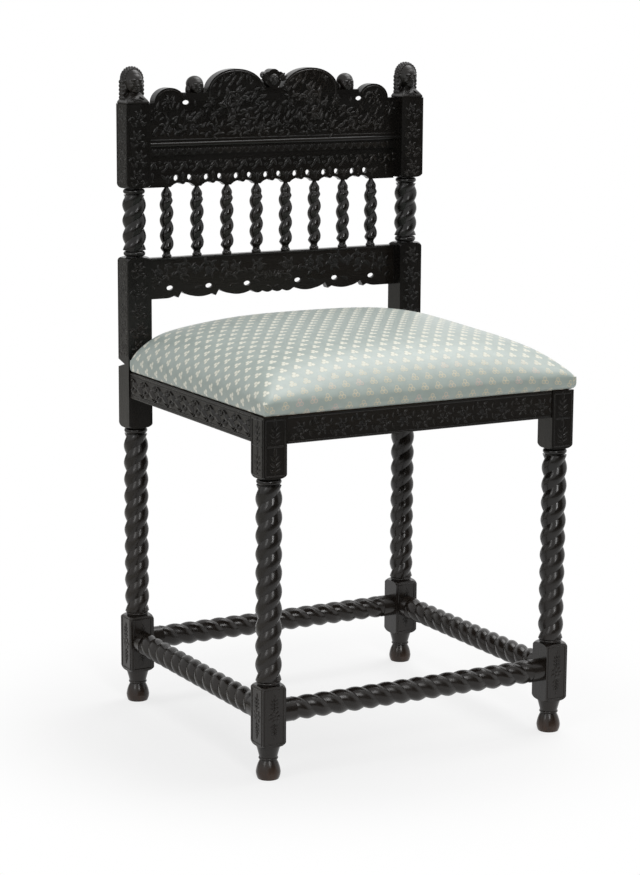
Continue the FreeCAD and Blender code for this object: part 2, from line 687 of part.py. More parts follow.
def crest_mask():
    """Plain mass of the small winged head at the crest's middle."""
    shapes = [crest_disc(0, CREST_BLOCK_TOP + MASK_RISE, MASK_WIDTH, MASK_HEIGHT)]
    wing = 2 * MASK_WING_RADIUS
    for side in (-1, 1):
        shapes.append(crest_disc(side * MASK_WING_X, CREST_BLOCK_TOP + MASK_WING_RISE, wing, wing))
    return shapes


def crest():
    front = BOARD_REAR_Y - CREST_THICKNESS
    panel = box(-REAR_INNER_X, REAR_INNER_X, front, BOARD_REAR_Y, CREST_BOTTOM, CREST_BLOCK_TOP)
    hill = box(-BIG_ARCH_X, BIG_ARCH_X, front, BOARD_REAR_Y, CREST_BOTTOM, CREST_BLOCK_TOP + MASK_VALLEY_RISE)
    shapes = [panel, hill, crest_tenon(-1), crest_tenon(1)] + crest_mask()
    for side in (-1, 1):
        shapes.append(box(side * BIG_ARCH_X, side * CREST_HOLE_X, front, BOARD_REAR_Y, CREST_BOTTOM,
                          CREST_BLOCK_TOP + KNOB_VALLEY_RISE))
        shapes += crest_arch(side * BIG_ARCH_X, BIG_ARCH_HALF, BIG_ARCH_SPRING, BIG_ARCH_RISE)
        shapes += crest_arch(side * SMALL_ARCH_X, SMALL_ARCH_HALF, 0, SMALL_ARCH_RISE)
        shapes += crest_knob(side * KNOB_X)
    width = CREST_HOLE_WIDTH_SHARE * REAR_INNER_X
    cuts = []
    for side in (-1, 1):
        cuts += pierced(side * CREST_HOLE_X, CREST_BLOCK_TOP, width, CREST_HOLE_HEIGHT, 0, CREST_THICKNESS)
    return fuse_all(shapes).removeSplitter().cut(cuts)


def spindle(x):
    """Neck and ring, one-strand twist and a bud, with a dowel at each end."""
    length = FRIEZE_BOTTOM - BACK_RAIL_TOP
    neck = SPINDLE_NECK_RADIUS
    ring = SPINDLE_RING_RADIUS
    ring_low = 0.55 * SPINDLE_BASE
    twist_end = length - SPINDLE_CAP
    bud = SPINDLE_STRAND - 0.4
    base = turned([(neck, 0), (neck, ring_low), (ring - 1, ring_low),
                   (ring, (ring_low + SPINDLE_BASE) / 2, ring - 1, SPINDLE_BASE)])
    cap = turned([(ring - 1, twist_end), (ring - 1, twist_end + 0.08 * SPINDLE_CAP),
                  (bud, twist_end + 0.35 * SPINDLE_CAP, SPINDLE_TIP_RADIUS, length)])
    dowel = rod(Vec(0, 0, -SPINDLE_DOWEL_LENGTH), UP, SPINDLE_DOWEL_RADIUS, length + 2 * SPINDLE_DOWEL_LENGTH)
    clear = SPINDLE_RADIUS + 1
    limits = turned([(ring - 1, SPINDLE_BASE), (clear, SPINDLE_BASE + SPINDLE_TAPER),
                     (clear, twist_end - SPINDLE_TAPER), (ring - 1, twist_end)])
    twist = corkscrew(SPINDLE_RADIUS, SPINDLE_STRAND, SPINDLE_BASE, twist_end, SPINDLE_LEAD).common(limits)
    whole = fuse_all([twist, base, cap, dowel])
    whole.translate(Vec(x, SPINDLE_Y, BACK_RAIL_TOP))
    return whole


def finial(side):
    """Carved head on a small bust: head, hair and ringlets as one turned and carved piece on a dowel."""
    middle = FINIAL_HEIGHT - FINIAL_HEAD_HEIGHT / 2
    half = POST_DEPTH / 2 - SHOULDER_INSET
    dowel = rod(Vec(0, 0, -FINIAL_DOWEL_LENGTH), UP, FINIAL_DOWEL_RADIUS, FINIAL_DOWEL_LENGTH + 1)
    bust = turned([(half, 0), (half * 0.8, FINIAL_BUST_HEIGHT * 0.5, FINIAL_NECK_RADIUS, FINIAL_BUST_HEIGHT)])
    neck = rod(Vec(0, 0, 0), UP, FINIAL_NECK_RADIUS, middle)
    head = ellipsoid(Vec(0, 0, middle), FINIAL_HEAD_WIDTH, FINIAL_HEAD_DEPTH, FINIAL_HEAD_HEIGHT)
    shapes = [neck, dowel, bust, head]
    drop = (middle + FINIAL_CURL_RADIUS) / FINIAL_CURLS
    for turn in (35, 90, 145):
        for step in range(FINIAL_CURLS):
            reach = FINIAL_HEAD_WIDTH / 2
            curl = Vec(reach * math.cos(math.radians(turn)), reach * math.sin(math.radians(turn)),
                       middle + FINIAL_CURL_RADIUS - step * drop)
            shapes.append(Part.makeSphere(FINIAL_CURL_RADIUS, curl))
    whole = fuse_all(shapes)
    whole.translate(Vec(side * LEG_X, REAR_Y, CREST_BLOCK_TOP))
    return whole


def glue_block(side, end, plan):
    """Upright prism over a plan drawn for the right-hand side."""
    low = SEAT_TOP - GLUE_BLOCK_DROP - GLUE_BLOCK_HEIGHT
    face = Part.Face(Part.makePolygon([Vec(side * x, end * y, low) for x, y in plan + plan[:1]]))
    return face.extrude(Vec(0, 0, GLUE_BLOCK_HEIGHT))


def front_glue_block(side):
    """Brace across the corner of the front and side rails, notched around the leg."""
    rail_x = SIDE_RAIL_X - RAIL_THICKNESS / 2
    rail_y = -FRONT_RAIL_Y - RAIL_THICKNESS / 2
    leg_x = FRONT_INNER_X - GLUE_BLOCK_PLAY
    leg_y = -FRONT_INNER_Y - GLUE_BLOCK_PLAY
    return glue_block(side, -1, [(leg_x, rail_y), (leg_x - GLUE_BLOCK_REACH, rail_y),
                                 (rail_x, leg_y - GLUE_BLOCK_REACH), (rail_x, leg_y), (leg_x, leg_y)])


def rear_glue_block(side):
    """Three-cornered brace between the rear rail's front face and the side rail."""
    rail_x = SIDE_RAIL_X - RAIL_THICKNESS / 2
    rail_y = REAR_RAIL_FRONT_Y
    return glue_block(side, 1, [(rail_x, rail_y), (REAR_INNER_X - GLUE_BLOCK_REACH, rail_y),
                                (rail_x, rail_y - GLUE_BLOCK_REACH)])


# Seat outline: the cover's outside is the pad's outside
PAD_HALF_X = LEG_X + LEG_BLOCK / 2 - SEAT_INSET_SIDE
PAD_FRONT_Y = FRONT_Y - LEG_BLOCK / 2 + SEAT_INSET_FRONT
PAD_REAR_Y = POST_FRONT_Y - SEAT_REAR_GAP
FRAME_HALF_X = PAD_HALF_X - COVER_THICKNESS - COVER_LIFT - SIDE_DRAW_IN
FRAME_FRONT_Y = PAD_FRONT_Y + COVER_THICKNESS + COVER_LIFT
FRAME_REAR_Y = PAD_REAR_Y - COVER_THICKNESS - COVER_LIFT
FRAME_TOP = SEAT_TOP + SEAT_FRAME_THICKNESS
WEB_TOP = FRAME_TOP + 2 * WEBBING_THICKNESS
HESSIAN_TOP = WEB_TOP + HESSIAN_THICKNESS
FRAME_INNER_X = FRAME_HALF_X - SEAT_FRAME_WIDTH
FRAME_MID_Y = (FRAME_FRONT_Y + FRAME_REAR_Y) / 2


def seat_side_tenon(side, end, play=0.0):
    x = side * (FRAME_HALF_X - SEAT_FRAME_WIDTH / 2)
    start = (FRAME_FRONT_Y if end < 0 else FRAME_REAR_Y) - end * SEAT_FRAME_WIDTH
    stop = start + end * (SEAT_TENON_LENGTH + (TENON_END_PLAY if play else 0))
    half = SEAT_FRAME_WIDTH / 4 + play
    middle = SEAT_TOP + SEAT_FRAME_THICKNESS / 2
    thick = SEAT_TENON_THICKNESS / 2 + play
    return box(x - half, x + half, start, stop, middle - thick, middle + thick)


def seat_frame_cross(end):
    edge = FRAME_FRONT_Y if end < 0 else FRAME_REAR_Y
    body = box(-FRAME_HALF_X, FRAME_HALF_X, edge, edge - end * SEAT_FRAME_WIDTH, SEAT_TOP, FRAME_TOP)
    return body.cut([seat_side_tenon(side, end, TENON_PLAY) for side in (-1, 1)])


def seat_frame_side(side):
    body = box(side * FRAME_INNER_X, side * FRAME_HALF_X, FRAME_FRONT_Y + SEAT_FRAME_WIDTH,
               FRAME_REAR_Y - SEAT_FRAME_WIDTH, SEAT_TOP, FRAME_TOP)
    return fuse_all([body, seat_side_tenon(side, -1), seat_side_tenon(side, 1)])


def webbing_places():
    middle = (WEBBING_COUNT - 1) / 2
    return [(i - middle) * WEBBING_SPACING for i in range(WEBBING_COUNT)]


def webbing_long(x):
    half = WEBBING_WIDTH / 2
    inset = SEAT_FRAME_WIDTH - WEBBING_LAP
    top = FRAME_TOP + WEBBING_THICKNESS
    return box(x - half, x + half, FRAME_FRONT_Y + inset, FRAME_REAR_Y - inset, FRAME_TOP, top)


def webbing_cross(offset):
    """Crosses over the long strips; its turned-down ends reach the frame beside them."""
    half = WEBBING_WIDTH / 2
    y = FRAME_MID_Y + offset
    outer = FRAME_INNER_X + WEBBING_LAP
    top = box(-outer, outer, y - half, y + half, FRAME_TOP + WEBBING_THICKNESS, WEB_TOP)
    shapes = [top]
    for side in (-1, 1):
        shapes.append(box(side * FRAME_INNER_X, side * outer, y - half, y + half, FRAME_TOP, WEB_TOP))
    return fuse_all(shapes).removeSplitter()


def hessian():
    half = FRAME_INNER_X + HESSIAN_LAP
    inset = SEAT_FRAME_WIDTH - HESSIAN_LAP
    return box(-half, half, FRAME_FRONT_Y + inset, FRAME_REAR_Y - inset, WEB_TOP, HESSIAN_TOP)


def dust_cloth():
    half = SIDE_RAIL_X - RAIL_THICKNESS / 2 - CLEAT_GAP - CLEAT_WIDTH - DUST_CLEAT_GAP
    inset = SEAT_FRAME_WIDTH - DUST_LAP
    return box(-half, half, FRAME_FRONT_Y + inset, FRAME_REAR_Y - inset, SEAT_TOP - DUST_THICKNESS, SEAT_TOP)


def cleat(side):
    """Batten under the seat frame that drops inside the side rail and keeps the seat from sliding."""
    outer = SIDE_RAIL_X - RAIL_THICKNESS / 2 - CLEAT_GAP
    half = CLEAT_LENGTH / 2
    return box(side * outer, side * (outer - CLEAT_WIDTH), FRAME_MID_Y - half, FRAME_MID_Y + half,
               SEAT_TOP - CLEAT_HEIGHT, SEAT_TOP)


def pad_section(share, shrink):
    """Cross-section of the pad at a share of its depth, front 0 to rear 1, as a closed wire."""
    y = PAD_FRONT_Y + shrink + share * (PAD_REAR_Y - PAD_FRONT_Y - 2 * shrink)
    rounding = 1 - (2 * share - 1) ** 2
    fullness = EDGE_FULLNESS + (1 - EDGE_FULLNESS) * math.sin(math.pi * share ** REAR_BIAS) ** CROWN_POWER
    half = PAD_HALF_X - shrink - SIDE_DRAW_IN * rounding
    low = SEAT_TOP + COVER_LIFT
    edge = low + COVER_EDGE - shrink
    crown = low + COVER_EDGE + (CROWN_HEIGHT - COVER_EDGE) * fullness - shrink
    shoulder = edge + 0.72 * (crown - edge)
    bend = edge + 0.42 * (crown - edge)
    inner = half - SHOULDER_WIDTH
    near = half - SHOULDER_WIDTH / 4
    points = [Vec(-half, y, low), Vec(half, y, low), Vec(half, y, edge), Vec(inner, y, shoulder),
              Vec(-inner, y, shoulder), Vec(-half, y, edge)]
    edges = [
        Part.makeLine(points[0], points[1]),
        Part.makeLine(points[1], points[2]),
        Part.Arc(points[2], Vec(near, y, bend), points[3]).toShape(),
        Part.Arc(points[3], Vec(0, y, crown), points[4]).toShape(),
        Part.Arc(points[4], Vec(-near, y, bend), points[5]).toShape(),
        Part.makeLine(points[5], points[0])]
    return Part.Wire(edges)


def pad_form(shrink):
    shares = (0, 0.05, 0.16, 0.34, 0.55, 0.75, 0.9, 0.9999)
    return Part.makeLoft([pad_section(share, shrink) for share in shares], True, False)


def seat_cover():
    return pad_form(0).cut([pad_form(COVER_THICKNESS)])


def stuffing():
    wide = 2 * PAD_HALF_X
    below = box(-wide, wide, PAD_FRONT_Y - wide, PAD_REAR_Y + wide, SEAT_TOP - wide, HESSIAN_TOP)
    return pad_form(COVER_THICKNESS).cut([below])


def all_nodes():
    nodes = {}
    for name, side in SIDES.items():
        nodes["front_leg_" + name] = front_leg(side)
        nodes["rear_post_" + name] = rear_post(side)
        nodes["finial_" + name] = finial(side)
        nodes["seat_rail_" + name] = side_rail(side)
        nodes["glue_block_front_" + name] = front_glue_block(side)
        nodes["glue_block_rear_" + name] = rear_glue_block(side)
        nodes["seat_frame_" + name] = seat_frame_side(side)
        nodes["seat_cleat_" + name] = cleat(side)
    nodes["seat_rail_front"] = front_rail()
    nodes["seat_rail_rear"] = rear_rail()
    nodes["stretcher_front"] = lay_along_x(stretcher(2 * FRONT_INNER_X), FRONT_Y)
    nodes["stretcher_rear"] = lay_along_x(stretcher(2 * REAR_INNER_X), REAR_Y)
    for name, side in SIDES.items():
        nodes["stretcher_" + name] = lay_along_y(stretcher(POST_FRONT_Y - FRONT_INNER_Y), side * LEG_X)
    nodes["back_rail"] = back_rail()
    nodes["frieze_rail"] = frieze()
    nodes["crest_moulding"] = moulding()
    nodes["crest_board"] = crest()
    for number, x in enumerate(spindle_places(), 1):
        nodes["spindle_%d" % number] = spindle(x)
    nodes["seat_frame_front"] = seat_frame_cross(-1)
    nodes["seat_frame_rear"] = seat_frame_cross(1)
    for number, place in enumerate(webbing_places(), 1):
        nodes["webbing_long_%d" % number] = webbing_long(place)
        nodes["webbing_cross_%d" % number] = webbing_cross(place)
    nodes["hessian"] = hessian()
    nodes["dust_cloth"] = dust_cloth()
    nodes["stuffing"] = stuffing()
    nodes["seat_cover"] = seat_cover()
    return nodes


os.makedirs("parts", exist_ok=True)
for node, shape in all_nodes().items():
    shape.exportStep("parts/" + node + ".step")
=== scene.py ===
import bpy
import math
import random
from mathutils import Matrix, Vector


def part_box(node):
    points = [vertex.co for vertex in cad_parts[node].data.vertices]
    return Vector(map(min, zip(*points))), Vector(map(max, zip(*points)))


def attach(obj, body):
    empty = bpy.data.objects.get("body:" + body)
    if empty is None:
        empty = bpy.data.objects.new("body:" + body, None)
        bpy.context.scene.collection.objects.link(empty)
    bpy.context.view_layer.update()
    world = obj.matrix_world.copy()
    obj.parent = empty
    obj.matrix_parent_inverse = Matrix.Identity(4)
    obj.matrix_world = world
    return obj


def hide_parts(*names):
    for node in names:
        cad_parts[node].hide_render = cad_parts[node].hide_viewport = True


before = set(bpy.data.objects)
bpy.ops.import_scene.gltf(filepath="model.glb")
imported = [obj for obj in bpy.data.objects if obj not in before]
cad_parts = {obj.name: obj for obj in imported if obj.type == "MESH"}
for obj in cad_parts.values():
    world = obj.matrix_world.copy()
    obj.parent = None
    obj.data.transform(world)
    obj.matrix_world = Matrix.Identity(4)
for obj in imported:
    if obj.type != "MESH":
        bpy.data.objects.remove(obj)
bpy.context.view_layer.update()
print("frame loaded,", len(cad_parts), "nodes")


# everyday helpers

def clearSelection():
    if bpy.context.object and bpy.context.object.mode != "OBJECT":
        bpy.ops.object.mode_set(mode="OBJECT")
    bpy.ops.object.select_all(action="DESELECT")


def takeOnly(thing):
    clearSelection()
    thing.select_set(True)
    bpy.context.view_layer.objects.active = thing


def justAdded(name):
    thing = bpy.context.object
    thing.name = name
    thing.data.name = name
    return thing


def addGrid(name, cells):  # one unit wide and long, flat
    clearSelection()
    bpy.ops.mesh.primitive_grid_add(x_subdivisions=cells[0], y_subdivisions=cells[1], size=1,
                                    location=(0, 0, 0))
    return justAdded(name)


def editAll(thing):
    takeOnly(thing)
    bpy.ops.object.mode_set(mode="EDIT")
    bpy.ops.mesh.select_all(action="SELECT")


def doneEditing():
    bpy.ops.object.mode_set(mode="OBJECT")


def pickPoints(thing, test):  # leaves the piece in edit mode with those points picked
    takeOnly(thing)
    bpy.ops.object.mode_set(mode="EDIT")
    bpy.ops.mesh.select_mode(type="VERT")
    bpy.ops.mesh.select_all(action="DESELECT")
    bpy.ops.object.mode_set(mode="OBJECT")
    for point in thing.data.vertices:
        point.select = test(point.co)
    bpy.ops.object.mode_set(mode="EDIT")


def closeRim(thing, threshold):  # doubles merged, open edges filled, faces turned outwards
    editAll(thing)
    bpy.ops.mesh.remove_doubles(threshold=threshold)
    bpy.ops.mesh.region_to_loop()
    bpy.ops.mesh.edge_face_add()
    bpy.ops.mesh.select_all(action="SELECT")
    bpy.ops.mesh.normals_make_consistent(inside=False)
    doneEditing()


def settle(thing):  # place, turn and size go into the mesh
    takeOnly(thing)
    bpy.ops.object.transform_apply(location=True, rotation=True, scale=True)
    return thing


def applyModifier(thing, kind, **values):
    takeOnly(thing)
    added = thing.modifiers.new(kind, kind)
    for key, value in values.items():
        setattr(added, key, value)
    bpy.ops.object.modifier_apply(modifier=added.name)


def copyTo(pattern, place, name):
    mesh = pattern.data.copy()
    mesh.transform(place)
    if place.determinant() < 0:
        mesh.flip_normals()
    piece = bpy.data.objects.new(name, mesh)
    bpy.context.scene.collection.objects.link(piece)
    return piece


def joinAll(pieces, name):
    clearSelection()
    for piece in pieces:
        piece.select_set(True)
    bpy.context.view_layer.objects.active = pieces[0]
    bpy.ops.object.join()
    return justAdded(name)


def smoothOver(thing, degrees):
    takeOnly(thing)
    bpy.ops.object.shade_smooth_by_angle(angle=math.radians(degrees))


def throwAway(*things):
    for thing in things:
        bpy.data.objects.remove(thing, do_unlink=True)


def ball(name, place, size, segments=20, rings=12, turn=(0, 0, 0)):  # size is the half widths
    clearSelection()
    bpy.ops.mesh.primitive_uv_sphere_add(segments=segments, ring_count=rings, radius=1,
                                         location=place, rotation=turn)
    thing = justAdded(name)
    thing.scale = size
    return settle(thing)


# helpers for material nodes

def addNode(tree, kind, inputs=None, **values):
    made = tree.nodes.new(kind)
    for key, value in values.items():
        setattr(made, key, value)
    for key, value in (inputs or {}).items():
        if isinstance(value, bpy.types.NodeSocket):
            tree.links.new(value, made.inputs[key])
        else:
            made.inputs[key].default_value = value
    return made


def sums(tree, kind, a, b=0.0, c=None):
    inputs = {0: a, 1: b}
    if c is not None:
        inputs[2] = c
    return addNode(tree, "ShaderNodeMath", inputs, operation=kind).outputs[0]


def ramp(tree, value, low, high, toLow=0.0, toHigh=1.0):
    inputs = {"Value": value, "From Min": low, "From Max": high, "To Min": toLow, "To Max": toHigh}
    return addNode(tree, "ShaderNodeMapRange", inputs, interpolation_type="SMOOTHSTEP").outputs["Result"]


def blendColours(tree, share, first, second):
    inputs = {"Fac": share, "Color1": first, "Color2": second}
    return addNode(tree, "ShaderNodeMixRGB", inputs).outputs["Color"]


def raiseBump(tree, shader, height, strength, distance):
    bump = addNode(tree, "ShaderNodeBump", {"Height": height, "Strength": strength, "Distance": distance})
    tree.links.new(bump.outputs["Normal"], shader.inputs["Normal"])


def newMaterial(name):
    paint = bpy.data.materials.new(name)
    paint.use_nodes = True
    tree = paint.node_tree
    return paint, tree, tree.nodes["Principled BSDF"]


def newGroup(name, inputs, outputs):
    group = bpy.data.node_groups.new(name, "ShaderNodeTree")
    for label, kind, value in inputs:
        socket = group.interface.new_socket(label, in_out="INPUT", socket_type=kind)
        if value is not None:
            socket.default_value = value
    for label in outputs:
        group.interface.new_socket(label, in_out="OUTPUT", socket_type="NodeSocketFloat")
    return group, group.nodes.new("NodeGroupInput"), group.nodes.new("NodeGroupOutput")


# camera, light and floor

photoView = {"azimuth": -29.24, "pitch": 10.79, "roll": 0.35, "distance": 3.42124,
             "target": (-0.03367, 0.0, 0.39935), "lens": 102.57, "sensor": 36, "reach": 60}


def placeCamera():
    around, tilt, roll = (math.radians(photoView[key]) for key in ("azimuth", "pitch", "roll"))
    turn = (Matrix.Rotation(around, 4, "Z") @ Matrix.Rotation(math.pi / 2 - tilt, 4, "X")
            @ Matrix.Rotation(roll, 4, "Z"))
    back = Vector((math.sin(around) * math.cos(tilt), -math.cos(around) * math.cos(tilt), math.sin(tilt)))
    place = Vector(photoView["target"]) + back * photoView["distance"]
    clearSelection()
    bpy.ops.object.camera_add(location=place, rotation=turn.to_euler())
    camera = justAdded("photoCamera")
    camera.data.lens = photoView["lens"]
    camera.data.sensor_width = photoView["sensor"]
    camera.data.clip_end = photoView["reach"]
    bpy.context.scene.camera = camera


lamps = {
    "topSoft": {"place": (1.2, 0.35, 3.1), "aim": (0, 0, 0.4), "size": (2.0, 2.0), "watts": 56},
    "frontBox": {"place": (-0.64, -2.7, 1.95), "aim": (0, 0, 0.5), "size": (0.5, 1.4), "watts": 28},
    "leftSoft": {"place": (-2.6, -0.9, 1.5), "aim": (0, 0, 0.5), "size": (0.8, 0.8), "watts": 8},
}


def hangLamps():
    for name, lamp in lamps.items():
        clearSelection()
        toward = Vector(lamp["aim"]) - Vector(lamp["place"])
        bpy.ops.object.light_add(type="AREA", location=lamp["place"],
                                 rotation=toward.to_track_quat("-Z", "Y").to_euler())
        light = justAdded(name)
        light.data.shape = "RECTANGLE"
        light.data.size, light.data.size_y = lamp["size"]
        light.data.energy = lamp["watts"]


floorSet = {"size": 24.0, "shade": 0.93, "ambient": 0.42, "nearWhite": 0.76, "fade": (0.32, 0.62)}


def seenDirectly(tree):  # camera, mirror and glass rays
    rays = addNode(tree, "ShaderNodeLightPath").outputs
    first = sums(tree, "MAXIMUM", rays["Is Camera Ray"], rays["Is Glossy Ray"])
    return sums(tree, "MAXIMUM", first, rays["Is Transmission Ray"])


def layFloor():  # matte near the chair, fading to pure white
    clearSelection()
    bpy.ops.mesh.primitive_plane_add(size=floorSet["size"], location=(0, 0, 0))
    ground = justAdded("studioFloor")
    paint = bpy.data.materials.new("floorPaper")
    paint.use_nodes = True
    tree = paint.node_tree
    tree.nodes.clear()
    matte = addNode(tree, "ShaderNodeBsdfDiffuse", {"Color": (floorSet["shade"],) * 3 + (1,)}).outputs[0]
    white = addNode(tree, "ShaderNodeEmission").outputs[0]
    where = addNode(tree, "ShaderNodeTexCoord").outputs["Object"]
    far = addNode(tree, "ShaderNodeVectorMath", {0: where}, operation="LENGTH").outputs["Value"]
    near, away = floorSet["fade"]
    fade = ramp(tree, far, near, away, floorSet["nearWhite"], 1.0)
    share = sums(tree, "MULTIPLY", fade, seenDirectly(tree))
    mix = addNode(tree, "ShaderNodeMixShader", {"Fac": share, 1: matte, 2: white})
    addNode(tree, "ShaderNodeOutputMaterial", {"Surface": mix.outputs[0]})
    ground.data.materials.append(paint)


def fillRoom():  # white to the eye and in the gloss, dimmer as light
    world = bpy.data.worlds.new("studioRoom")
    bpy.context.scene.world = world
    world.use_nodes = True
    tree = world.node_tree
    tree.nodes.clear()
    level = ramp(tree, seenDirectly(tree), 0.0, 1.0, floorSet["ambient"], 1.0)
    sky = addNode(tree, "ShaderNodeBackground", {"Color": (1, 1, 1, 1), "Strength": level})
    addNode(tree, "ShaderNodeOutputWorld", {"Surface": sky.outputs[0]})


# holdsBack: diffuse rays meet the card too, so less light comes from that side
flagSet = {
    "front": {"shade": 0.27, "place": (1.6, -3.1, 0.004), "size": (9.0, 4.6), "turn": 0, "holdsBack": True},
    "wall": {"shade": 0.27, "place": (1.6, -5.6, 2.6), "size": (9.0, 5.2), "turn": 90, "holdsBack": True},
    "left": {"shade": 0.90, "place": (-3.4, 2.6, 0.004), "size": (6.0, 6.6), "turn": 0, "holdsBack": False},
    "far": {"shade": 0.58, "place": (-3.4, 5.9, 0.9), "size": (6.0, 1.8), "turn": 90, "holdsBack": False},
}
cardTint = (1.0, 0.98, 0.92)


def standFlags():  # grey cards round the chair, off camera
    for name, card in flagSet.items():
        paint, _, shader = newMaterial(name + "Card")
        shader.inputs["Base Color"].default_value = [card["shade"] * part for part in cardTint] + [1]
        shader.inputs["Roughness"].default_value = 1.0
        clearSelection()
        bpy.ops.mesh.primitive_plane_add(size=1, location=card["place"],
                                         rotation=(math.radians(card["turn"]), 0, 0))
        sheet = justAdded(name + "Flag")
        sheet.scale = card["size"] + (1,)
        settle(sheet)
        sheet.data.materials.append(paint)
        sheet.visible_diffuse = card["holdsBack"]
        for rays in ("camera", "shadow", "transmission", "volume_scatter"):
            setattr(sheet, "visible_" + rays, False)


placeCamera()
hangLamps()
layFloor()
fillRoom()
standFlags()
bpy.context.scene.view_settings.view_transform = "Standard"
print("camera, lamps and floor placed")


# wood

def makeGrain():  # long streaks, broad mottling and fine pores on stretched coordinates
    group, given, out = newGroup(
        "timberGrain",
        [("Vector", "NodeSocketVector", None), ("Streaks", "NodeSocketFloat", 60.0),
         ("Mottling", "NodeSocketFloat", 9.0), ("Pores", "NodeSocketFloat", 420.0)],
        ["Streak", "Mottle", "Height"])

    def noise(scale, **more):
        inputs = {"Vector": given.outputs["Vector"], "Scale": given.outputs[scale], **more}
        return addNode(group, "ShaderNodeTexNoise", inputs).outputs["Fac"]

    streak = noise("Streaks", Detail=4.0, Roughness=0.6)
    mottle = noise("Mottling", Detail=3.0)
    pores = ramp(group, noise("Pores", Detail=2.0), 0.35, 0.5)
    group.links.new(ramp(group, streak, 0.3, 0.7), out.inputs["Streak"])
    group.links.new(ramp(group, mottle, 0.38, 0.66), out.inputs["Mottle"])
    group.links.new(sums(group, "MULTIPLY_ADD", pores, 0.35, streak), out.inputs["Height"])
    return group


timberGrain = makeGrain()

# heights are in metres over the floor: paler towards the feet, scuffed at the very bottom
ebonySet = {"dark": (0.0040, 0.0034, 0.0028, 1), "brown": (0.0098, 0.0074, 0.0054, 1), "streakShare": 0.35,
            "worn": (0.055, 0.027, 0.014, 1), "wornHeights": (0.026, 0.004), "wornStreaks": (0.5, 0.3),
            "paleLow": (0.016, 0.012, 0.0095, 1), "paleLowHeights": (0.52, 0.08), "paleLowShare": 0.6,
            "gloss": (0.20, 0.32), "level": 0.36, "bump": 0.12, "bumpDepth": 0.0006}


def placeGrain(tree, stretch, inputs=None):  # squeezed one way, so that streaks run along the timber
    where = addNode(tree, "ShaderNodeTexCoord").outputs["Object"]
    mapping = addNode(tree, "ShaderNodeMapping", {"Vector": where, "Scale": stretch})
    grain = addNode(tree, "ShaderNodeGroup", inputs, node_tree=timberGrain)
    tree.links.new(mapping.outputs["Vector"], grain.inputs["Vector"])
    return grain.outputs, where


def makeEbony(name, stretch, lift=1.0, dull=0.0, level=ebonySet["level"]):
    paint, tree, shader = newMaterial(name)
    dark, brown = ([part * lift for part in ebonySet[key][:3]] + [1] for key in ("dark", "brown"))
    grain, where = placeGrain(tree, stretch)
    streak = grain["Streak"]
    body = blendColours(tree, grain["Mottle"], dark, brown)
    body = blendColours(tree, sums(tree, "MULTIPLY", streak, ebonySet["streakShare"]), body, dark)
    height = addNode(tree, "ShaderNodeSeparateXYZ", {"Vector": where}).outputs["Z"]
    # a paler tone blended in towards the feet, by height alone
    paleLow = ramp(tree, height, *ebonySet["paleLowHeights"], 0.0, ebonySet["paleLowShare"])
    body = blendColours(tree, paleLow, body, ebonySet["paleLow"])
    scuffs = sums(tree, "MULTIPLY_ADD", streak, *ebonySet["wornStreaks"])
    scuffs = sums(tree, "MULTIPLY", ramp(tree, height, *ebonySet["wornHeights"]), scuffs)
    body = blendColours(tree, scuffs, body, ebonySet["worn"])
    tree.links.new(body, shader.inputs["Base Color"])
    least, most = ebonySet["gloss"]
    tree.links.new(ramp(tree, streak, 0, 1, least + dull, most + dull), shader.inputs["Roughness"])
    shader.inputs["Specular IOR Level"].default_value = level
    raiseBump(tree, shader, grain["Height"], ebonySet["bump"], ebonySet["bumpDepth"])
    return paint


ebonyUpright = makeEbony("ebonyUpright", (1, 1, 0.12))
ebonyAcross = makeEbony("ebonyAcross", (0.12, 1, 1))
ebonyDeep = makeEbony("ebonyDeep", (1, 0.12, 1))
# the carved relief and heads are painted a tenth lighter than the flat ebony: a painted highlight
ebonyCarved = makeEbony("ebonyCarved", (1, 1, 1), lift=1.1, dull=0.06)
# the turned spindles are painted a tenth darker than the flat ebony: painted shade
ebonyTurned = makeEbony("ebonyTurned", (1, 1, 0.12), lift=0.9, dull=-0.08, level=0.42)

# the seat frame, cleats and glue blocks are painted dark brown so that the gap under the cushion shows a
# shadow line: painted shadow
seatWoodShadowSet = {"light": (0.085, 0.050, 0.028, 1), "dark": (0.045, 0.026, 0.015, 1), "stretch": (0.14, 1, 1),
               "streaks": 40.0, "gloss": (0.55, 0.75), "bump": 0.25, "bumpDepth": 0.0005}


def makeSeatWoodShadow():
    paint, tree, shader = newMaterial("seatWoodShadow")
    grain = placeGrain(tree, seatWoodShadowSet["stretch"], {"Streaks": seatWoodShadowSet["streaks"]})[0]
    body = blendColours(tree, grain["Streak"], seatWoodShadowSet["light"], seatWoodShadowSet["dark"])
    tree.links.new(body, shader.inputs["Base Color"])
    tree.links.new(ramp(tree, grain["Mottle"], 0, 1, *seatWoodShadowSet["gloss"]), shader.inputs["Roughness"])
    raiseBump(tree, shader, grain["Height"], seatWoodShadowSet["bump"], seatWoodShadowSet["bumpDepth"])
    return paint


# cloth

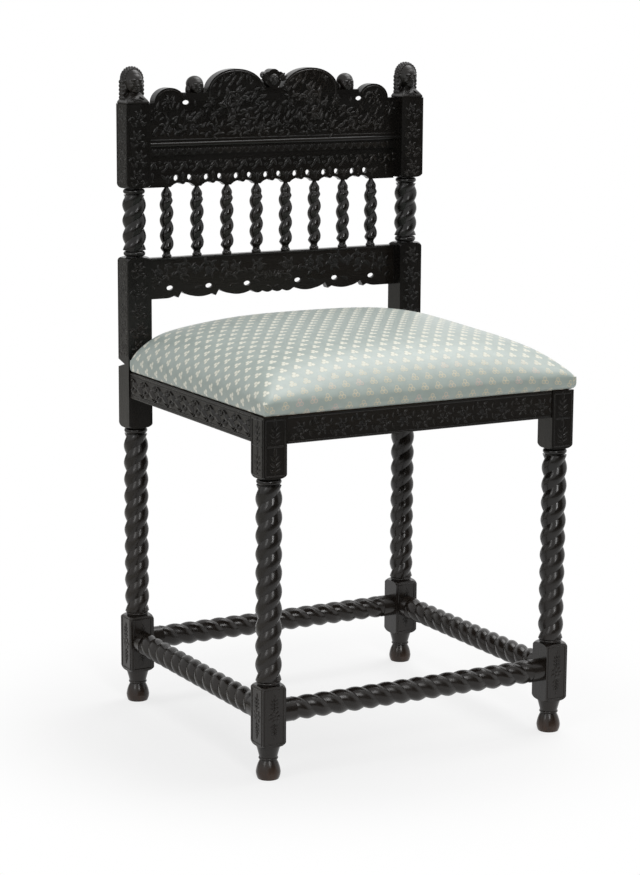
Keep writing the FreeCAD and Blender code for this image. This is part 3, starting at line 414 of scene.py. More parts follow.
def makeWeave():  # plain weave from two crossed waves, in threads per metre
    group, given, out = newGroup(
        "plainWeave",
        [("Vector", "NodeSocketVector", None), ("Threads", "NodeSocketFloat", 900.0)],
        ["Height", "Gaps", "Slub"])
    parts = addNode(group, "ShaderNodeSeparateXYZ", {"Vector": given.outputs["Vector"]}).outputs
    count = sums(group, "MULTIPLY", given.outputs["Threads"], math.pi)
    warp = sums(group, "SINE", sums(group, "MULTIPLY", parts["X"], count))
    weft = sums(group, "SINE", sums(group, "MULTIPLY", parts["Y"], count))
    height = sums(group, "MULTIPLY_ADD", sums(group, "MULTIPLY", warp, weft), 0.5, 0.5)
    gaps = sums(group, "MULTIPLY", sums(group, "ABSOLUTE", warp), sums(group, "ABSOLUTE", weft))
    inputs = {"Vector": given.outputs["Vector"], "Scale": 60.0, "Detail": 4.0}
    slub = addNode(group, "ShaderNodeTexNoise", inputs).outputs["Fac"]
    group.links.new(height, out.inputs["Height"])
    group.links.new(gaps, out.inputs["Gaps"])
    group.links.new(slub, out.inputs["Slub"])
    return group


plainWeave = makeWeave()

clothSet = {
    "juteWebbing": {"light": (0.46, 0.37, 0.23, 1), "dark": (0.20, 0.15, 0.08, 1), "threads": 420.0,
                    "rough": (0.77, 0.90), "bump": 0.6},
    "coarseHessian": {"light": (0.50, 0.41, 0.27, 1), "dark": (0.17, 0.12, 0.07, 1), "threads": 560.0,
                      "rough": (0.82, 0.95), "bump": 0.7},
    "blackCotton": {"light": (0.035, 0.034, 0.033, 1), "dark": (0.010, 0.010, 0.010, 1), "threads": 900.0,
                    "rough": (0.77, 0.90), "bump": 0.4},
}
threadDepth = 0.0005


def makeCloth(name):
    cloth = clothSet[name]
    paint, tree, shader = newMaterial(name)
    where = addNode(tree, "ShaderNodeTexCoord").outputs["Object"]
    weave = addNode(tree, "ShaderNodeGroup", {"Threads": cloth["threads"]}, node_tree=plainWeave)
    tree.links.new(where, weave.inputs["Vector"])
    slub = weave.outputs["Slub"]
    shade = sums(tree, "MULTIPLY", weave.outputs["Gaps"], ramp(tree, slub, 0.25, 0.75, 0.5, 1.0))
    tree.links.new(blendColours(tree, shade, cloth["dark"], cloth["light"]), shader.inputs["Base Color"])
    tree.links.new(ramp(tree, slub, 0.2, 0.8, *cloth["rough"]), shader.inputs["Roughness"])
    raiseBump(tree, shader, weave.outputs["Height"], cloth["bump"], threadDepth)
    return paint


# lengths in metres of cloth; rough and coat run from the ground to the sprigs
satinSet = {"ground": (0.385, 0.448, 0.415, 1), "shade": (0.345, 0.405, 0.375, 1), "threads": 1500.0,
            # sprig and rim are the sprig colours where the cloth lies on top, paler with painted sheen;
            # turned and edging are those on the front, in painted shade
            "sprig": (0.80, 0.80, 0.71, 1), "turned": (0.41, 0.46, 0.42, 1),
            "rim": (0.68, 0.66, 0.55, 1), "edging": (0.70, 0.61, 0.43, 1), "blush": (0.66, 0.50, 0.45, 1),
            "blushFrom": (0.7, 0.9), "shadedFront": (-0.4, -0.85), "across": 0.0207, "rows": 0.0150,
            "lobe": 0.0023, "spread": 0.0026, "rise": 0.0031, "drop": 0.45, "merge": 0.0012,
            "edge": 0.0008, "edgeShare": 0.85, "soft": 0.0005, "rough": (0.40, 0.75), "coat": (0.56, 0.2),
            "raised": 1.6, "weave": 0.25, "bump": 0.3, "bumpDepth": 0.0003,
            "plain": {"Coat Roughness": 0.5, "Coat IOR": 1.65, "Sheen Weight": 0.12, "Sheen Roughness": 0.4,
                      "Specular IOR Level": 0.3}}


def sprigCells(tree, cover):  # half-drop rows: the place inside a cell, and a chance value for each cell
    parts = addNode(tree, "ShaderNodeSeparateXYZ", {"Vector": cover}).outputs
    row = sums(tree, "DIVIDE", parts["Y"], satinSet["rows"])
    rowNumber = sums(tree, "FLOOR", row)
    odd = sums(tree, "FLOORED_MODULO", rowNumber, 2.0)
    column = sums(tree, "DIVIDE", parts["X"], satinSet["across"])
    column = sums(tree, "MULTIPLY_ADD", odd, 0.5, column)

    def inCell(count, size):
        return sums(tree, "MULTIPLY", sums(tree, "SUBTRACT", sums(tree, "FRACT", count), 0.5), size)

    inputs = {"X": inCell(column, satinSet["across"]), "Y": inCell(row, satinSet["rows"])}
    spot = addNode(tree, "ShaderNodeCombineXYZ", inputs).outputs["Vector"]
    inputs = {"X": sums(tree, "FLOOR", column), "Y": rowNumber}
    cell = addNode(tree, "ShaderNodeCombineXYZ", inputs).outputs["Vector"]
    return spot, addNode(tree, "ShaderNodeTexWhiteNoise", {"Vector": cell}).outputs["Value"]


def trefoil(tree, spot):  # how far a place is from the middles of the three lobes
    side, low = satinSet["spread"], -satinSet["rise"] * satinSet["drop"]
    reach = None
    for lobe in ((0.0, satinSet["rise"], 0.0), (-side, low, 0.0), (side, low, 0.0)):
        away = addNode(tree, "ShaderNodeVectorMath", {0: spot, 1: lobe}, operation="DISTANCE")
        away = away.outputs["Value"]
        reach = away if reach is None else sums(tree, "SMOOTH_MIN", reach, away, satinSet["merge"])
    return reach


def makeSatin():  # cream trefoil sprigs, read from the cover's own map
    paint, tree, shader = newMaterial("sprigSatin")
    cover = addNode(tree, "ShaderNodeUVMap", uv_map="coverMap").outputs["UV"]
    spot, dye = sprigCells(tree, cover)
    reach = trefoil(tree, spot)
    lobe = satinSet["lobe"]
    rim = lobe + satinSet["edge"]
    inside = ramp(tree, reach, lobe, lobe - satinSet["soft"])
    outline = ramp(tree, reach, rim, rim - satinSet["soft"])
    outward = addNode(tree, "ShaderNodeTexCoord").outputs["Normal"]
    outward = addNode(tree, "ShaderNodeSeparateXYZ", {"Vector": outward}).outputs["Y"]
    shadedFront = ramp(tree, outward, *satinSet["shadedFront"])  # painted shade and sheen: where the cloth faces forward the sprigs take darker, ground-like colours, on top paler ones
    dyed = ramp(tree, dye, *satinSet["blushFrom"])
    edging = blendColours(tree, dyed, satinSet["edging"], satinSet["blush"])
    edging = blendColours(tree, shadedFront, satinSet["rim"], edging)
    thread = blendColours(tree, shadedFront, satinSet["sprig"], satinSet["turned"])
    weave = addNode(tree, "ShaderNodeGroup", {"Threads": satinSet["threads"]}, node_tree=plainWeave)
    tree.links.new(cover, weave.inputs["Vector"])
    slub = ramp(tree, weave.outputs["Slub"], 0.3, 0.7)
    body = blendColours(tree, slub, satinSet["ground"], satinSet["shade"])
    body = blendColours(tree, sums(tree, "MULTIPLY", outline, satinSet["edgeShare"]), body, edging)
    body = blendColours(tree, inside, body, thread)
    tree.links.new(body, shader.inputs["Base Color"])
    tree.links.new(ramp(tree, inside, 0, 1, *satinSet["rough"]), shader.inputs["Roughness"])
    tree.links.new(ramp(tree, outline, 0, 1, *satinSet["coat"]), shader.inputs["Coat Weight"])
    for label, value in satinSet["plain"].items():
        shader.inputs[label].default_value = value
    threads = sums(tree, "MULTIPLY", weave.outputs["Height"], satinSet["weave"])
    height = sums(tree, "MULTIPLY_ADD", outline, satinSet["raised"], threads)
    raiseBump(tree, shader, height, satinSet["bump"], satinSet["bumpDepth"])
    return paint


seatWoodShadow = makeSeatWoodShadow()
sprigSatin = makeSatin()
juteWebbing = makeCloth("juteWebbing")
coarseHessian = makeCloth("coarseHessian")
blackCotton = makeCloth("blackCotton")

# starts of node names and their finish; what isn't named is upright ebony
finishes = {
    "seat_rail_left": ebonyDeep, "seat_rail_right": ebonyDeep, "stretcher_left": ebonyDeep,
    "stretcher_right": ebonyDeep, "seat_rail_front": ebonyAcross, "seat_rail_rear": ebonyAcross,
    "stretcher_front": ebonyAcross, "stretcher_rear": ebonyAcross, "back_rail": ebonyAcross,
    "frieze_rail": ebonyAcross, "crest": ebonyAcross, "glue_block": seatWoodShadow, "seat_frame": seatWoodShadow,
    "seat_cleat": seatWoodShadow, "webbing": juteWebbing, "hessian": coarseHessian, "stuffing": coarseHessian,
    "dust_cloth": blackCotton, "seat_cover": sprigSatin,
}


def dressFrame():
    for name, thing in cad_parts.items():
        paint = next((finish for start, finish in finishes.items() if name.startswith(start)), ebonyUpright)
        thing.data.materials.clear()
        thing.data.materials.append(paint)


dressFrame()
print("materials made and frame dressed")


# upholstered seat

# metres; rim lists how far each turn of the edge drops and shrinks
cushion = {"halfWidth": 0.2335, "front": -0.2135, "rear": 0.1780, "base": 0.4781, "wall": 0.0180,
           "rise": 0.0262, "rollSide": 0.0416, "rollFront": 0.076, "rollRear": 0.0414, "crown": 0.0350,
           "sideFall": (3.42, 0.82), "endFall": (4.33, 0.77), "lean": 0.15, "corner": 2.5,
           "swell": 0.0034, "swellFront": 0.0075, "swellRear": 0.0008, "swellHeight": 0.050,
           "swellPeak": 4.07, "swellPower": 0.6, "swellFrom": 0.86,
           "rim": ((-0.0085, 1.0), (-0.0046, 0.9998), (-0.0028, 0.998), (-0.0019, 0.991), (-0.0001, 0.9)),
           "heldBelow": 0.012, "heldCorner": (0.72, 0.16), "mapReach": (0.29, 0.26),
           "columns": 104, "rows": 88, "frames": 20, "cap": 0.0030, "even": 25, "fill": 0.9,
           "puff": {"quality": 5, "mass": 0.25, "tension_stiffness": 18, "compression_stiffness": 14,
                    "shear_stiffness": 6, "bending_stiffness": 1.2, "use_pressure": True,
                    "uniform_pressure_force": 4.0, "vertex_group_mass": "held"}}
midY = (cushion["front"] + cushion["rear"]) / 2
halfY = (cushion["rear"] - cushion["front"]) / 2


def quarter(away, reach):  # quarter round from an edge inwards
    return math.sqrt(max(0.0, 1 - (1 - min(1.0, away / reach)) ** 2))


def domeHeight(across, along):
    side = quarter(cushion["halfWidth"] * (1 - abs(across)), cushion["rollSide"])
    end = quarter(halfY * (1 - abs(along)), cushion["rollRear"] if along > 0 else cushion["rollFront"])
    corner = cushion["corner"]
    roll = max(0.0, 1 - ((1 - side) ** corner + (1 - end) ** corner) ** (1 / corner))
    sideShare = max(0.0, 1 - abs(across) ** cushion["sideFall"][0]) ** cushion["sideFall"][1]
    endShare = max(0.0, 1 - abs(along) ** cushion["endFall"][0]) ** cushion["endFall"][1]
    full = cushion["rise"] * roll + cushion["crown"] * sideShare * endShare
    return cushion["wall"] + full * (1 + cushion["lean"] * along)


def shapeDome(sheet):
    for point in sheet.data.vertices:
        across = math.sin(math.pi * point.co.x)
        along = math.sin(math.pi * point.co.y)
        height = cushion["base"] + domeHeight(across, along)
        point.co = (across * cushion["halfWidth"], midY + along * halfY, height)


def ease(share):
    share = max(0.0, min(1.0, share))
    return share * share * (3 - 2 * share)


def swellOut(spot):  # the sides swell over the rails, most low down, and fade out upwards
    across, along = spot.x / cushion["halfWidth"], (spot.y - midY) / halfY
    lift = min(1.0, max(0.0, (spot.z - cushion["base"]) / cushion["swellHeight"]))
    share = cushion["swellPeak"] * lift ** cushion["swellPower"] * (1 - lift) ** 2
    first = cushion["swellFrom"]
    sideShare = ease((abs(across) - first) / (1 - first))
    endShare = ease((abs(along) - first) / (1 - first))
    spot.x += math.copysign(cushion["swell"] * share * sideShare, across)
    spot.y += share * endShare * (cushion["swellRear"] if along > 0 else -cushion["swellFront"])


def closeUnderneath(sheet):  # rim turned down, under and closed
    editAll(sheet)
    bpy.ops.mesh.region_to_loop()
    middle = (0, midY, cushion["base"])
    for drop, shrink in cushion["rim"]:
        bpy.ops.mesh.extrude_region_move(TRANSFORM_OT_translate={"value": (0, 0, drop)})
        bpy.ops.transform.resize(value=(shrink, shrink, 1), center_override=middle)
    bpy.ops.mesh.fill(use_beauty=True)
    bpy.ops.mesh.select_all(action="SELECT")
    bpy.ops.mesh.normals_make_consistent(inside=False)
    doneEditing()
    for point in sheet.data.vertices:
        swellOut(point.co)


def holdRim(cover):  # the low edge and the corners stay put while the cloth puffs
    held = cover.vertex_groups.new(name="held")
    low = cushion["base"] + cushion["heldBelow"]
    first, span = cushion["heldCorner"]
    for point in cover.data.vertices:
        corner = min(abs(point.co.x) / cushion["halfWidth"], abs(point.co.y - midY) / halfY)
        share = max(1.0 if point.co.z < low else 0.0, min(1.0, max(0.0, (corner - first) / span)))
        held.add([point.index], share, "REPLACE")


def evenOut(cover, moves):  # the padding evens out small creases
    near = [[] for _ in moves]
    for edge in cover.data.edges:
        a, b = edge.vertices
        near[a].append(b)
        near[b].append(a)
    for _ in range(cushion["even"]):
        moves = [sum((moves[k] for k in near[index]), move) / (len(near[index]) + 1)
                 for index, move in enumerate(moves)]
    return moves


def puffOut(cover):
    start = [point.co.copy() for point in cover.data.vertices]
    holdRim(cover)
    takeOnly(cover)
    cloth = cover.modifiers.new("puff", "CLOTH")
    for key, value in cushion["puff"].items():
        setattr(cloth.settings, key, value)
    cloth.settings.effector_weights.gravity = 0
    cloth.collision_settings.use_collision = False
    cloth.collision_settings.use_self_collision = False
    cloth.point_cache.frame_start = 1
    cloth.point_cache.frame_end = cushion["frames"]
    for step in range(1, cushion["frames"] + 1):
        bpy.context.scene.frame_set(step)
    bpy.ops.object.modifier_apply(modifier="puff")
    bpy.context.scene.frame_set(1)
    moves = [point.co - first for point, first in zip(cover.data.vertices, start)]
    most = max(move.length for move in moves)
    for index, move in enumerate(moves):
        if move.length > cushion["cap"]:
            moves[index] = move * (cushion["cap"] / move.length)
    for point, first, move in zip(cover.data.vertices, start, evenOut(cover, moves)):
        point.co = first + move
    cover.vertex_groups.clear()
    print("cushion puffed, widest move %.1f mm before the cap" % (most * 1000))


def clothRuns(spots, lines):  # lengths from the middle of each line of points, both ways
    runs = {}
    for line in lines:
        middle = len(line) // 2
        for sign, half in ((1, line[middle:]), (-1, line[middle::-1])):
            total = 0.0
            runs[half[0]] = total
            for last, here in zip(half, half[1:]):
                total += (spots[here] - spots[last]).length * sign
                runs[here] = total
    return runs


def pushOut(spot):  # one unit away from the middle of the map, over the nearer side
    wide, long = cushion["mapReach"]
    if abs(spot.x) / wide > abs(spot.y) / long:
        return Vector((math.copysign(1, spot.x), 0))
    return Vector((0, math.copysign(1, spot.y)))


def mapCover(cover):  # lengths of cloth in metres from the sheet's middle lines
    columns, rows = cushion["columns"] + 1, cushion["rows"] + 1
    spots = [point.co for point in cover.data.vertices]
    across = clothRuns(spots, [range(j * columns, (j + 1) * columns) for j in range(rows)])
    along = clothRuns(spots, [range(i, rows * columns, columns) for i in range(columns)])
    known = {index: Vector((across[index], along[index])) for index in across}
    waiting = set(range(rows * columns, len(spots)))
    while waiting:  # the turned-down rim goes on from the sheet's edge
        fresh = {}
        for edge in cover.data.edges:
            a, b = edge.vertices
            for near, far in ((a, b), (b, a)):
                if near in known and far in waiting and far not in fresh:
                    step = (spots[far] - spots[near]).length
                    fresh[far] = known[near] + pushOut(known[near]) * step
        if not fresh:
            break
        known.update(fresh)
        waiting -= set(fresh)
    clothMap = cover.data.uv_layers.new(name="coverMap").data
    for corner in cover.data.loops:
        if corner.vertex_index in known:
            clothMap[corner.index].uv = known[corner.vertex_index]


def makeCushion():
    cover = addGrid("seatCushion", (cushion["columns"], cushion["rows"]))
    shapeDome(cover)
    closeUnderneath(cover)
    puffOut(cover)
    mapCover(cover)
    applyModifier(cover, "SUBSURF", levels=1, render_levels=1)
    takeOnly(cover)
    bpy.ops.object.shade_smooth()
    cover.data.materials.append(sprigSatin)
    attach(cover, "seat")
    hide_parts("seat_cover", "stuffing")


makeCushion()
print("cushion made")


# cloths under the seat

underSet = {
    "webbing": {"thick": 0.0011, "cells": (6, 60), "weave": 0.0006, "waves": 3, "reach": 0.92, "calm": 8},
    "hessian": {"thick": 0.0006, "cells": (24, 20)},
    "dust_cloth": {"thick": 0.0005, "cells": (40, 36), "sag": 0.004, "free": 2.3},
}


def stretchCloth(node, name, slot, paint, bulge, turned=False):
    kind = underSet[slot]
    low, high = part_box(node)
    wide, long = high.x - low.x, high.y - low.y
    cloth = addGrid(name, kind["cells"][::-1] if turned else kind["cells"])
    level = (low.z + high.z) / 2
    for point in cloth.data.vertices:
        u, v = point.co.x, point.co.y
        point.co = ((low.x + high.x) / 2 + u * wide, (low.y + high.y) / 2 + v * long, level + bulge(u, v))
    applyModifier(cloth, "SOLIDIFY", thickness=kind["thick"], offset=0.0)
    smoothOver(cloth, 40)
    cloth.data.materials.append(paint)
    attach(cloth, "seat")
    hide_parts(node)


def overUnder(run, start):  # a strip goes over one crossing strip and under the next
    strip = underSet["webbing"]
    wave = math.cos(run * strip["waves"] * math.pi * strip["reach"] + start)
    return strip["weave"] * wave * (1 - (2 * run) ** strip["calm"])


def hang(u, v):
    dust = underSet["dust_cloth"]
    return -dust["sag"] * max(0.0, 1 - (dust["free"] * u) ** 2) * max(0.0, 1 - (dust["free"] * v) ** 2)


def layUnderCloths():
    for number in (1, 2, 3):
        first, second = (0.0, math.pi) if number % 2 == 1 else (math.pi, 0.0)
        stretchCloth("webbing_long_%d" % number, "jute_long_%d" % number, "webbing", juteWebbing,
                     lambda u, v: overUnder(v, first))
        stretchCloth("webbing_cross_%d" % number, "jute_cross_%d" % number, "webbing", juteWebbing,
                     lambda u, v: overUnder(u, second), turned=True)
    stretchCloth("hessian", "hessianSheet", "hessian", coarseHessian,
                 lambda u, v: 0.0)
    stretchCloth("dust_cloth", "dustCloth", "dust_cloth", blackCotton, hang)


layUnderCloths()
print("under cloths laid")


# carving patterns, one unit across with relief 1 high, face towards +Z

millimetre = 0.001
sunk = -0.25  # how far a pattern's edge goes into the ground


def facing(u, v, n, place):  # from millimetres on a face to metres in the frame
    turn = Matrix((u, v, n)).transposed().to_4x4()
    return Matrix.Translation(place) @ turn @ Matrix.Scale(millimetre, 4)


def frontFace(y):
    return facing((1, 0, 0), (0, 0, 1), (0, -1, 0), (0, y * millimetre, 0))


def rearFace(y):
    return facing((-1, 0, 0), (0, 0, 1), (0, 1, 0), (0, y * millimetre, 0))


def leftFace(x):
    return facing((0, -1, 0), (0, 0, 1), (-1, 0, 0), (x * millimetre, 0, 0))


def rightFace(x):
    return facing((0, 1, 0), (0, 0, 1), (1, 0, 0), (x * millimetre, 0, 0))


flatFace = Matrix.Identity(4)
flipped = Matrix.Diagonal((-1, 1, 1, 1))


def outerFace(side, reach):  # the left face, or the right one as its mirror image
    return leftFace(-reach) if side < 0 else rightFace(reach) @ flipped


def stamp(pattern, face, u, v, turn=0.0, size=1.0, wide=None, tall=1.0, flip=False):
    scale = Matrix.Diagonal((-size if flip else size, size if wide is None else wide, tall, 1))
    place = face @ Matrix.Translation((u, v, 0)) @ Matrix.Rotation(math.radians(turn), 4, "Z") @ scale
    return copyTo(pattern, place, "stamped")


leafSet = {"cells": (10, 4), "belly": 0.8, "sidePower": 0.75, "waves": 8, "topPower": 0.5, "round": 2.4,
           "veinWidth": 0.3, "merge": 0.002}


def makeLeaf(name, vein, wave):  # pointed, from the stalk at 0 to the tip at 1
    leaf = addGrid(name, leafSet["cells"])
    for point in leaf.data.vertices:
        run, side = point.co.x + 0.5, 2 * point.co.y
        full = max(0.0, math.sin(math.pi * min(1.0, max(0.0, run)) ** leafSet["belly"]))
        half = 0.5 * full ** leafSet["sidePower"] * (1 + wave * math.cos(leafSet["waves"] * math.pi * run))
        groove = vein * max(0.0, 1 - abs(side) / leafSet["veinWidth"])
        top = full ** leafSet["topPower"] * (1 - abs(side) ** leafSet["round"] - groove)
        edge = abs(side) > 0.99 or run < 0.01 or run > 0.99
        point.co = (run, side * half, sunk if edge else top)
    closeRim(leaf, leafSet["merge"])
    return leaf


def makeBoss():
    boss = ball("bossPattern", (0, 0, 0), (0.5, 0.5, 1), 10, 8)
    editAll(boss)
    bpy.ops.mesh.bisect(plane_co=(0, 0, sunk), plane_no=(0, 0, 1), use_fill=True, clear_inner=True)
    doneEditing()
    return boss


def makeBar():  # half-round fillet along X
    clearSelection()
    bpy.ops.mesh.primitive_cylinder_add(vertices=12, radius=0.5, depth=1, location=(0.5, 0, 0),
                                        rotation=(0, math.pi / 2, 0))
    bar = justAdded("barPattern")
    bar.scale = (2, 1, 1)
    return settle(bar)


def makeStem(name, points, width, tall=0.8, taper=1.0):
    line = bpy.data.curves.new(name, "CURVE")
    line.dimensions = "3D"
    line.bevel_depth = width / 2
    line.bevel_resolution = 1
    line.use_fill_caps = True
    spline = line.splines.new("POLY")
    spline.points.add(len(points) - 1)
    for step, (dot, place) in enumerate(zip(spline.points, points)):
        dot.co = (place[0], place[1], 0, 1)
        dot.radius = 1 + (taper - 1) * step / (len(points) - 1)
    stem = bpy.data.objects.new(name, line)
    bpy.context.scene.collection.objects.link(stem)
    takeOnly(stem)
    bpy.ops.object.convert(target="MESH")
    stem = bpy.context.object
    stem.data.transform(Matrix.Diagonal((1, 1, 2 * tall / width, 1)))
    return stem


rosetteSet = {"petals": 7, "ring": 0.1, "petal": (0.4, 0.34, 0.8), "boss": 0.3}


def makeRosette():
    pieces = []
    ring = rosetteSet["ring"]
    for k in range(rosetteSet["petals"]):
        a = 2 * math.pi * k / rosetteSet["petals"]
        pieces.append(stamp(leafPattern, flatFace, ring * math.cos(a), ring * math.sin(a), math.degrees(a),
                            *rosetteSet["petal"]))
    pieces.append(stamp(bossPattern, flatFace, 0, 0, 0, rosetteSet["boss"]))
    return joinAll(pieces, "rosettePattern")


spraySet = {"start": -150, "turns": 500, "outer": 0.40, "inner": 0.10, "stemStep": 20,
            "stem": (0.075, 0.85, 0.55), "entry": ((-0.12, -0.22), (-0.03, -0.10)),
            "leafStep": 56, "leafFrom": 10, "leafStop": 90, "leaf": (0.30, 0.15),
            "leafLean": 50, "leafEnd": 330, "curl": (0.22, 0.12), "curlLean": 145, "curlTall": 0.8,
            "shrink": 0.45, "heart": 0.27, "heartTurn": 15, "heartTall": 1.1}


def spiralAt(angle):
    share = angle / spraySet["turns"]
    reach = spraySet["outer"] * (spraySet["inner"] / spraySet["outer"]) ** share
    where = math.radians(spraySet["start"] + angle)
    return reach * math.cos(where), reach * math.sin(where), math.degrees(where)


def makeSpray():  # a scrolling stem with leaves along it and a flower at its heart
    turns = spraySet["turns"]
    points = [spiralAt(angle)[:2] for angle in range(0, turns + 1, spraySet["stemStep"])]
    entry = [(points[0][0] + x, points[0][1] + y) for x, y in spraySet["entry"]]
    pieces = [makeStem("sprayStem", entry + points, *spraySet["stem"])]
    for angle in range(spraySet["leafFrom"], turns - spraySet["leafStop"], spraySet["leafStep"]):
        x, y, out = spiralAt(angle)
        shrink = 1 - spraySet["shrink"] * angle / turns
        if angle < spraySet["leafEnd"]:
            long, wide = (part * shrink for part in spraySet["leaf"])
            pieces.append(stamp(strokePattern, flatFace, x, y, out + spraySet["leafLean"], long, wide))
        long, wide = (part * shrink for part in spraySet["curl"])
        pieces.append(stamp(strokePattern, flatFace, x, y, out + spraySet["curlLean"], long, wide,
                            spraySet["curlTall"]))
    pieces.append(stamp(rosettePattern, flatFace, 0, 0, spraySet["heartTurn"], spraySet["heart"], None,
                        spraySet["heartTall"]))
    return joinAll(pieces, "sprayPattern")


# pairs: height of the leaves' foot, their length and their lean
palmSet = {"stem": [(0, 0.0), (0.01, 0.3), (-0.01, 0.6), (0, 0.75)], "stemWidth": 0.05,
           "pairs": ((0.06, 0.30, 28), (0.26, 0.34, 38), (0.46, 0.30, 46)), "slim": 0.42,
           "top": (0.62, 90, 0.38, 0.17)}


def makePalm():  # upright stalk with paired leaves, one unit tall and about 0.55 wide
    pieces = [makeStem("palmStem", palmSet["stem"], palmSet["stemWidth"])]
    for rise, long, lean in palmSet["pairs"]:
        for side in (-1, 1):
            turn = 90 - side * (90 - lean)
            pieces.append(stamp(leafPattern, flatFace, 0, rise, turn, long, long * palmSet["slim"]))
    pieces.append(stamp(leafPattern, flatFace, 0, *palmSet["top"]))
    return joinAll(pieces, "palmPattern")


# leaves: place, turn, length and width in millimetres
slantSet = {"stem": [(-19, 8), (-15, 11.5), (-10, 9), (-4, 3), (4, -4), (10, -9.5), (15, -12), (19, -9)],
            "stemWidth": 2.8,
            "leaves": [(-1, 3, -33, 21, 13), (1, -2, 147, 19, 11), (6, 3, 42, 14, 9), (-6, -3, 222, 14, 9),
                       (12, 8, -20, 10, 6), (-12, -8, 160, 10, 6)],
            "bosses": [(15.5, 4), (-15.5, -3)], "boss": 4, "bossTall": 0.9}


def makeSlant():  # lens leaves on a falling stem, 40 by 30 millimetres, for the side rails
    pieces = [makeStem("slantStem", slantSet["stem"], slantSet["stemWidth"])]
    for leaf in slantSet["leaves"]:
        pieces.append(stamp(strokePattern, flatFace, *leaf))
    for u, v in slantSet["bosses"]:
        pieces.append(stamp(bossPattern, flatFace, u, v, 0, slantSet["boss"], None, slantSet["bossTall"]))
    return joinAll(pieces, "slantPattern")


curlLine = [(0, 0), (0.25, 0.08), (0.5, 0.22), (0.75, 0.46), (0.88, 0.72), (0.8, 0.94),
            (0.6, 0.96), (0.5, 0.82)]

leafPattern = makeLeaf("leafPattern", 0.4, 0.12)
strokePattern = makeLeaf("strokePattern", 0.0, 0.0)
bossPattern = makeBoss()
barPattern = makeBar()
curlPattern = makeStem("curlPattern", curlLine, 0.24, 0.9, 0.5)
rosettePattern = makeRosette()
sprayPattern = makeSpray()
palmPattern = makePalm()
slantPattern = makeSlant()
print("carving patterns made")


# carving on the boards, posts, rails and blocks

def fillet(face, u, v, long, wide, tall, turn=0):
    return stamp(barPattern, face, u, v, turn, long, wide, tall)


def stampRows(rows, face, u, tall):  # rows: pattern, across, up, turn, length, width, share of the relief
    return [stamp(pattern, face, u + across, up, turn, long, wide, tall * share)
            for pattern, across, up, turn, long, wide, share in rows]


def finishCarving(pieces, name):
    whole = joinAll(pieces, name)
    smoothOver(whole, 50)
    whole.data.materials.clear()
    whole.data.materials.append(ebonyCarved)
    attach(whole, "frame")


# millimetres on the board's face: sprays are place, size, turn; leaves are place, length, width, turn
crestSet = {
    "face": 199.0, "tall": 1.8, "seed": 11, "tries": 1500, "apart": 6.8,
    "scatter": ((1, 192), (800, 888), (5, 80), (9, 15)), "curlShare": 0.5,
    "curl": {"turn": -30, "size": 0.8, "tall": 0.8}, "stroke": {"slim": 0.4, "tall": 0.85},
    "sprays": [(59.5, 848, 58, 0), (20, 813, 36, 90), (58, 811, 33, 200), (93, 811, 33, 20),
               (128, 814, 38, 130), (166, 813, 36, 250), (189, 834, 20, 60), (166, 850, 24, 0),
               (27, 846, 30, 140), (95, 832, 18, 0)],
    "leaves": [(36, 872, 12, 6, 75), (43, 876, 12, 6, 100), (50, 880, 11, 5, 70), (66, 882, 11, 5, 110),
               (76, 878, 11, 5, 60), (84, 872, 11, 5, 100), (40, 829, 12, 5, 40), (76, 829, 12, 5, 140),
               (112, 830, 11, 5, 60), (146, 830, 11, 5, 120), (108, 803, 9, 4.5, 20), (76, 802, 9, 4.5, 160),
               (40, 801, 9, 4.5, 30), (147, 802, 9, 4.5, 150), (184, 802, 9, 4.5, 30), (168, 830, 10, 5, 40),
               (124, 842, 9, 4.5, 80), (4, 832, 12, 6, 60), (8, 800, 9, 4.5, 20)],
    "daisies": [(100.7, 848, 15), (19, 866, 12), (3, 818, 10)], "daisyTurn": 10, "daisyTall": 1.2,
    "wing": (8, 878), "wingLeaves": ((18, 15), (-4, 13), (40, 13)), "wingWide": 6, "wingTall": 2.0,
    "bandTall": 1.9, "base": (796.5, 199, 2.4, 1.0),
    "big": {"middle": (59.5, 862), "band": (41, 27.5), "ground": (40, 27), "angles": (166, -1, -8),
            "line": (3.4, 0.75, 0.8)},
    "small": {"middle": (163, 848), "band": (20.5, 17), "ground": (20, 16), "angles": (165, 14, -10),
              "line": (2.6, 0.7)},
    "bandDown": [(100.6, 855), (101.6, 846), (104, 838)],
    "volute": {"middle": (110.5, 829), "reach": 7.6, "shrink": 0.22, "start": 100, "turns": 500, "step": 25},
    "foot": 800, "end": 193, "hole": (138.5, 9, 838), "board": 842, "shoulder": (101, 857),
}


def archLine(arch):
    (u, v), (wide, tall) = arch["middle"], arch["band"]
    angles = [math.radians(a) for a in range(*arch["angles"])]
    return [(u + wide * math.cos(a), v + tall * math.sin(a)) for a in angles]


def archBand():  # scroll fillet inside the big arch, curling up into a volute at its outer foot
    over = archLine(crestSet["big"])
    volute = crestSet["volute"]
    u, v = volute["middle"]
    curl = []
    for a in range(0, volute["turns"], volute["step"]):
        reach = volute["reach"] * (volute["shrink"] ** (a / volute["turns"]))
        where = math.radians(volute["start"] - a)
        curl.append((u + reach * math.cos(where), v + reach * math.sin(where)))
    return makeStem("archBand", over + crestSet["bandDown"] + curl, *crestSet["big"]["line"])


def smallArchBand():
    small = crestSet["small"]
    return makeStem("smallArchBand", archLine(small), *small["line"])


def underArch(arch, u, v):
    (midU, midV), (wide, tall) = arch["middle"], arch["ground"]
    return ((u - midU) / wide) ** 2 + (max(0.0, v - midV) / tall) ** 2 < 1


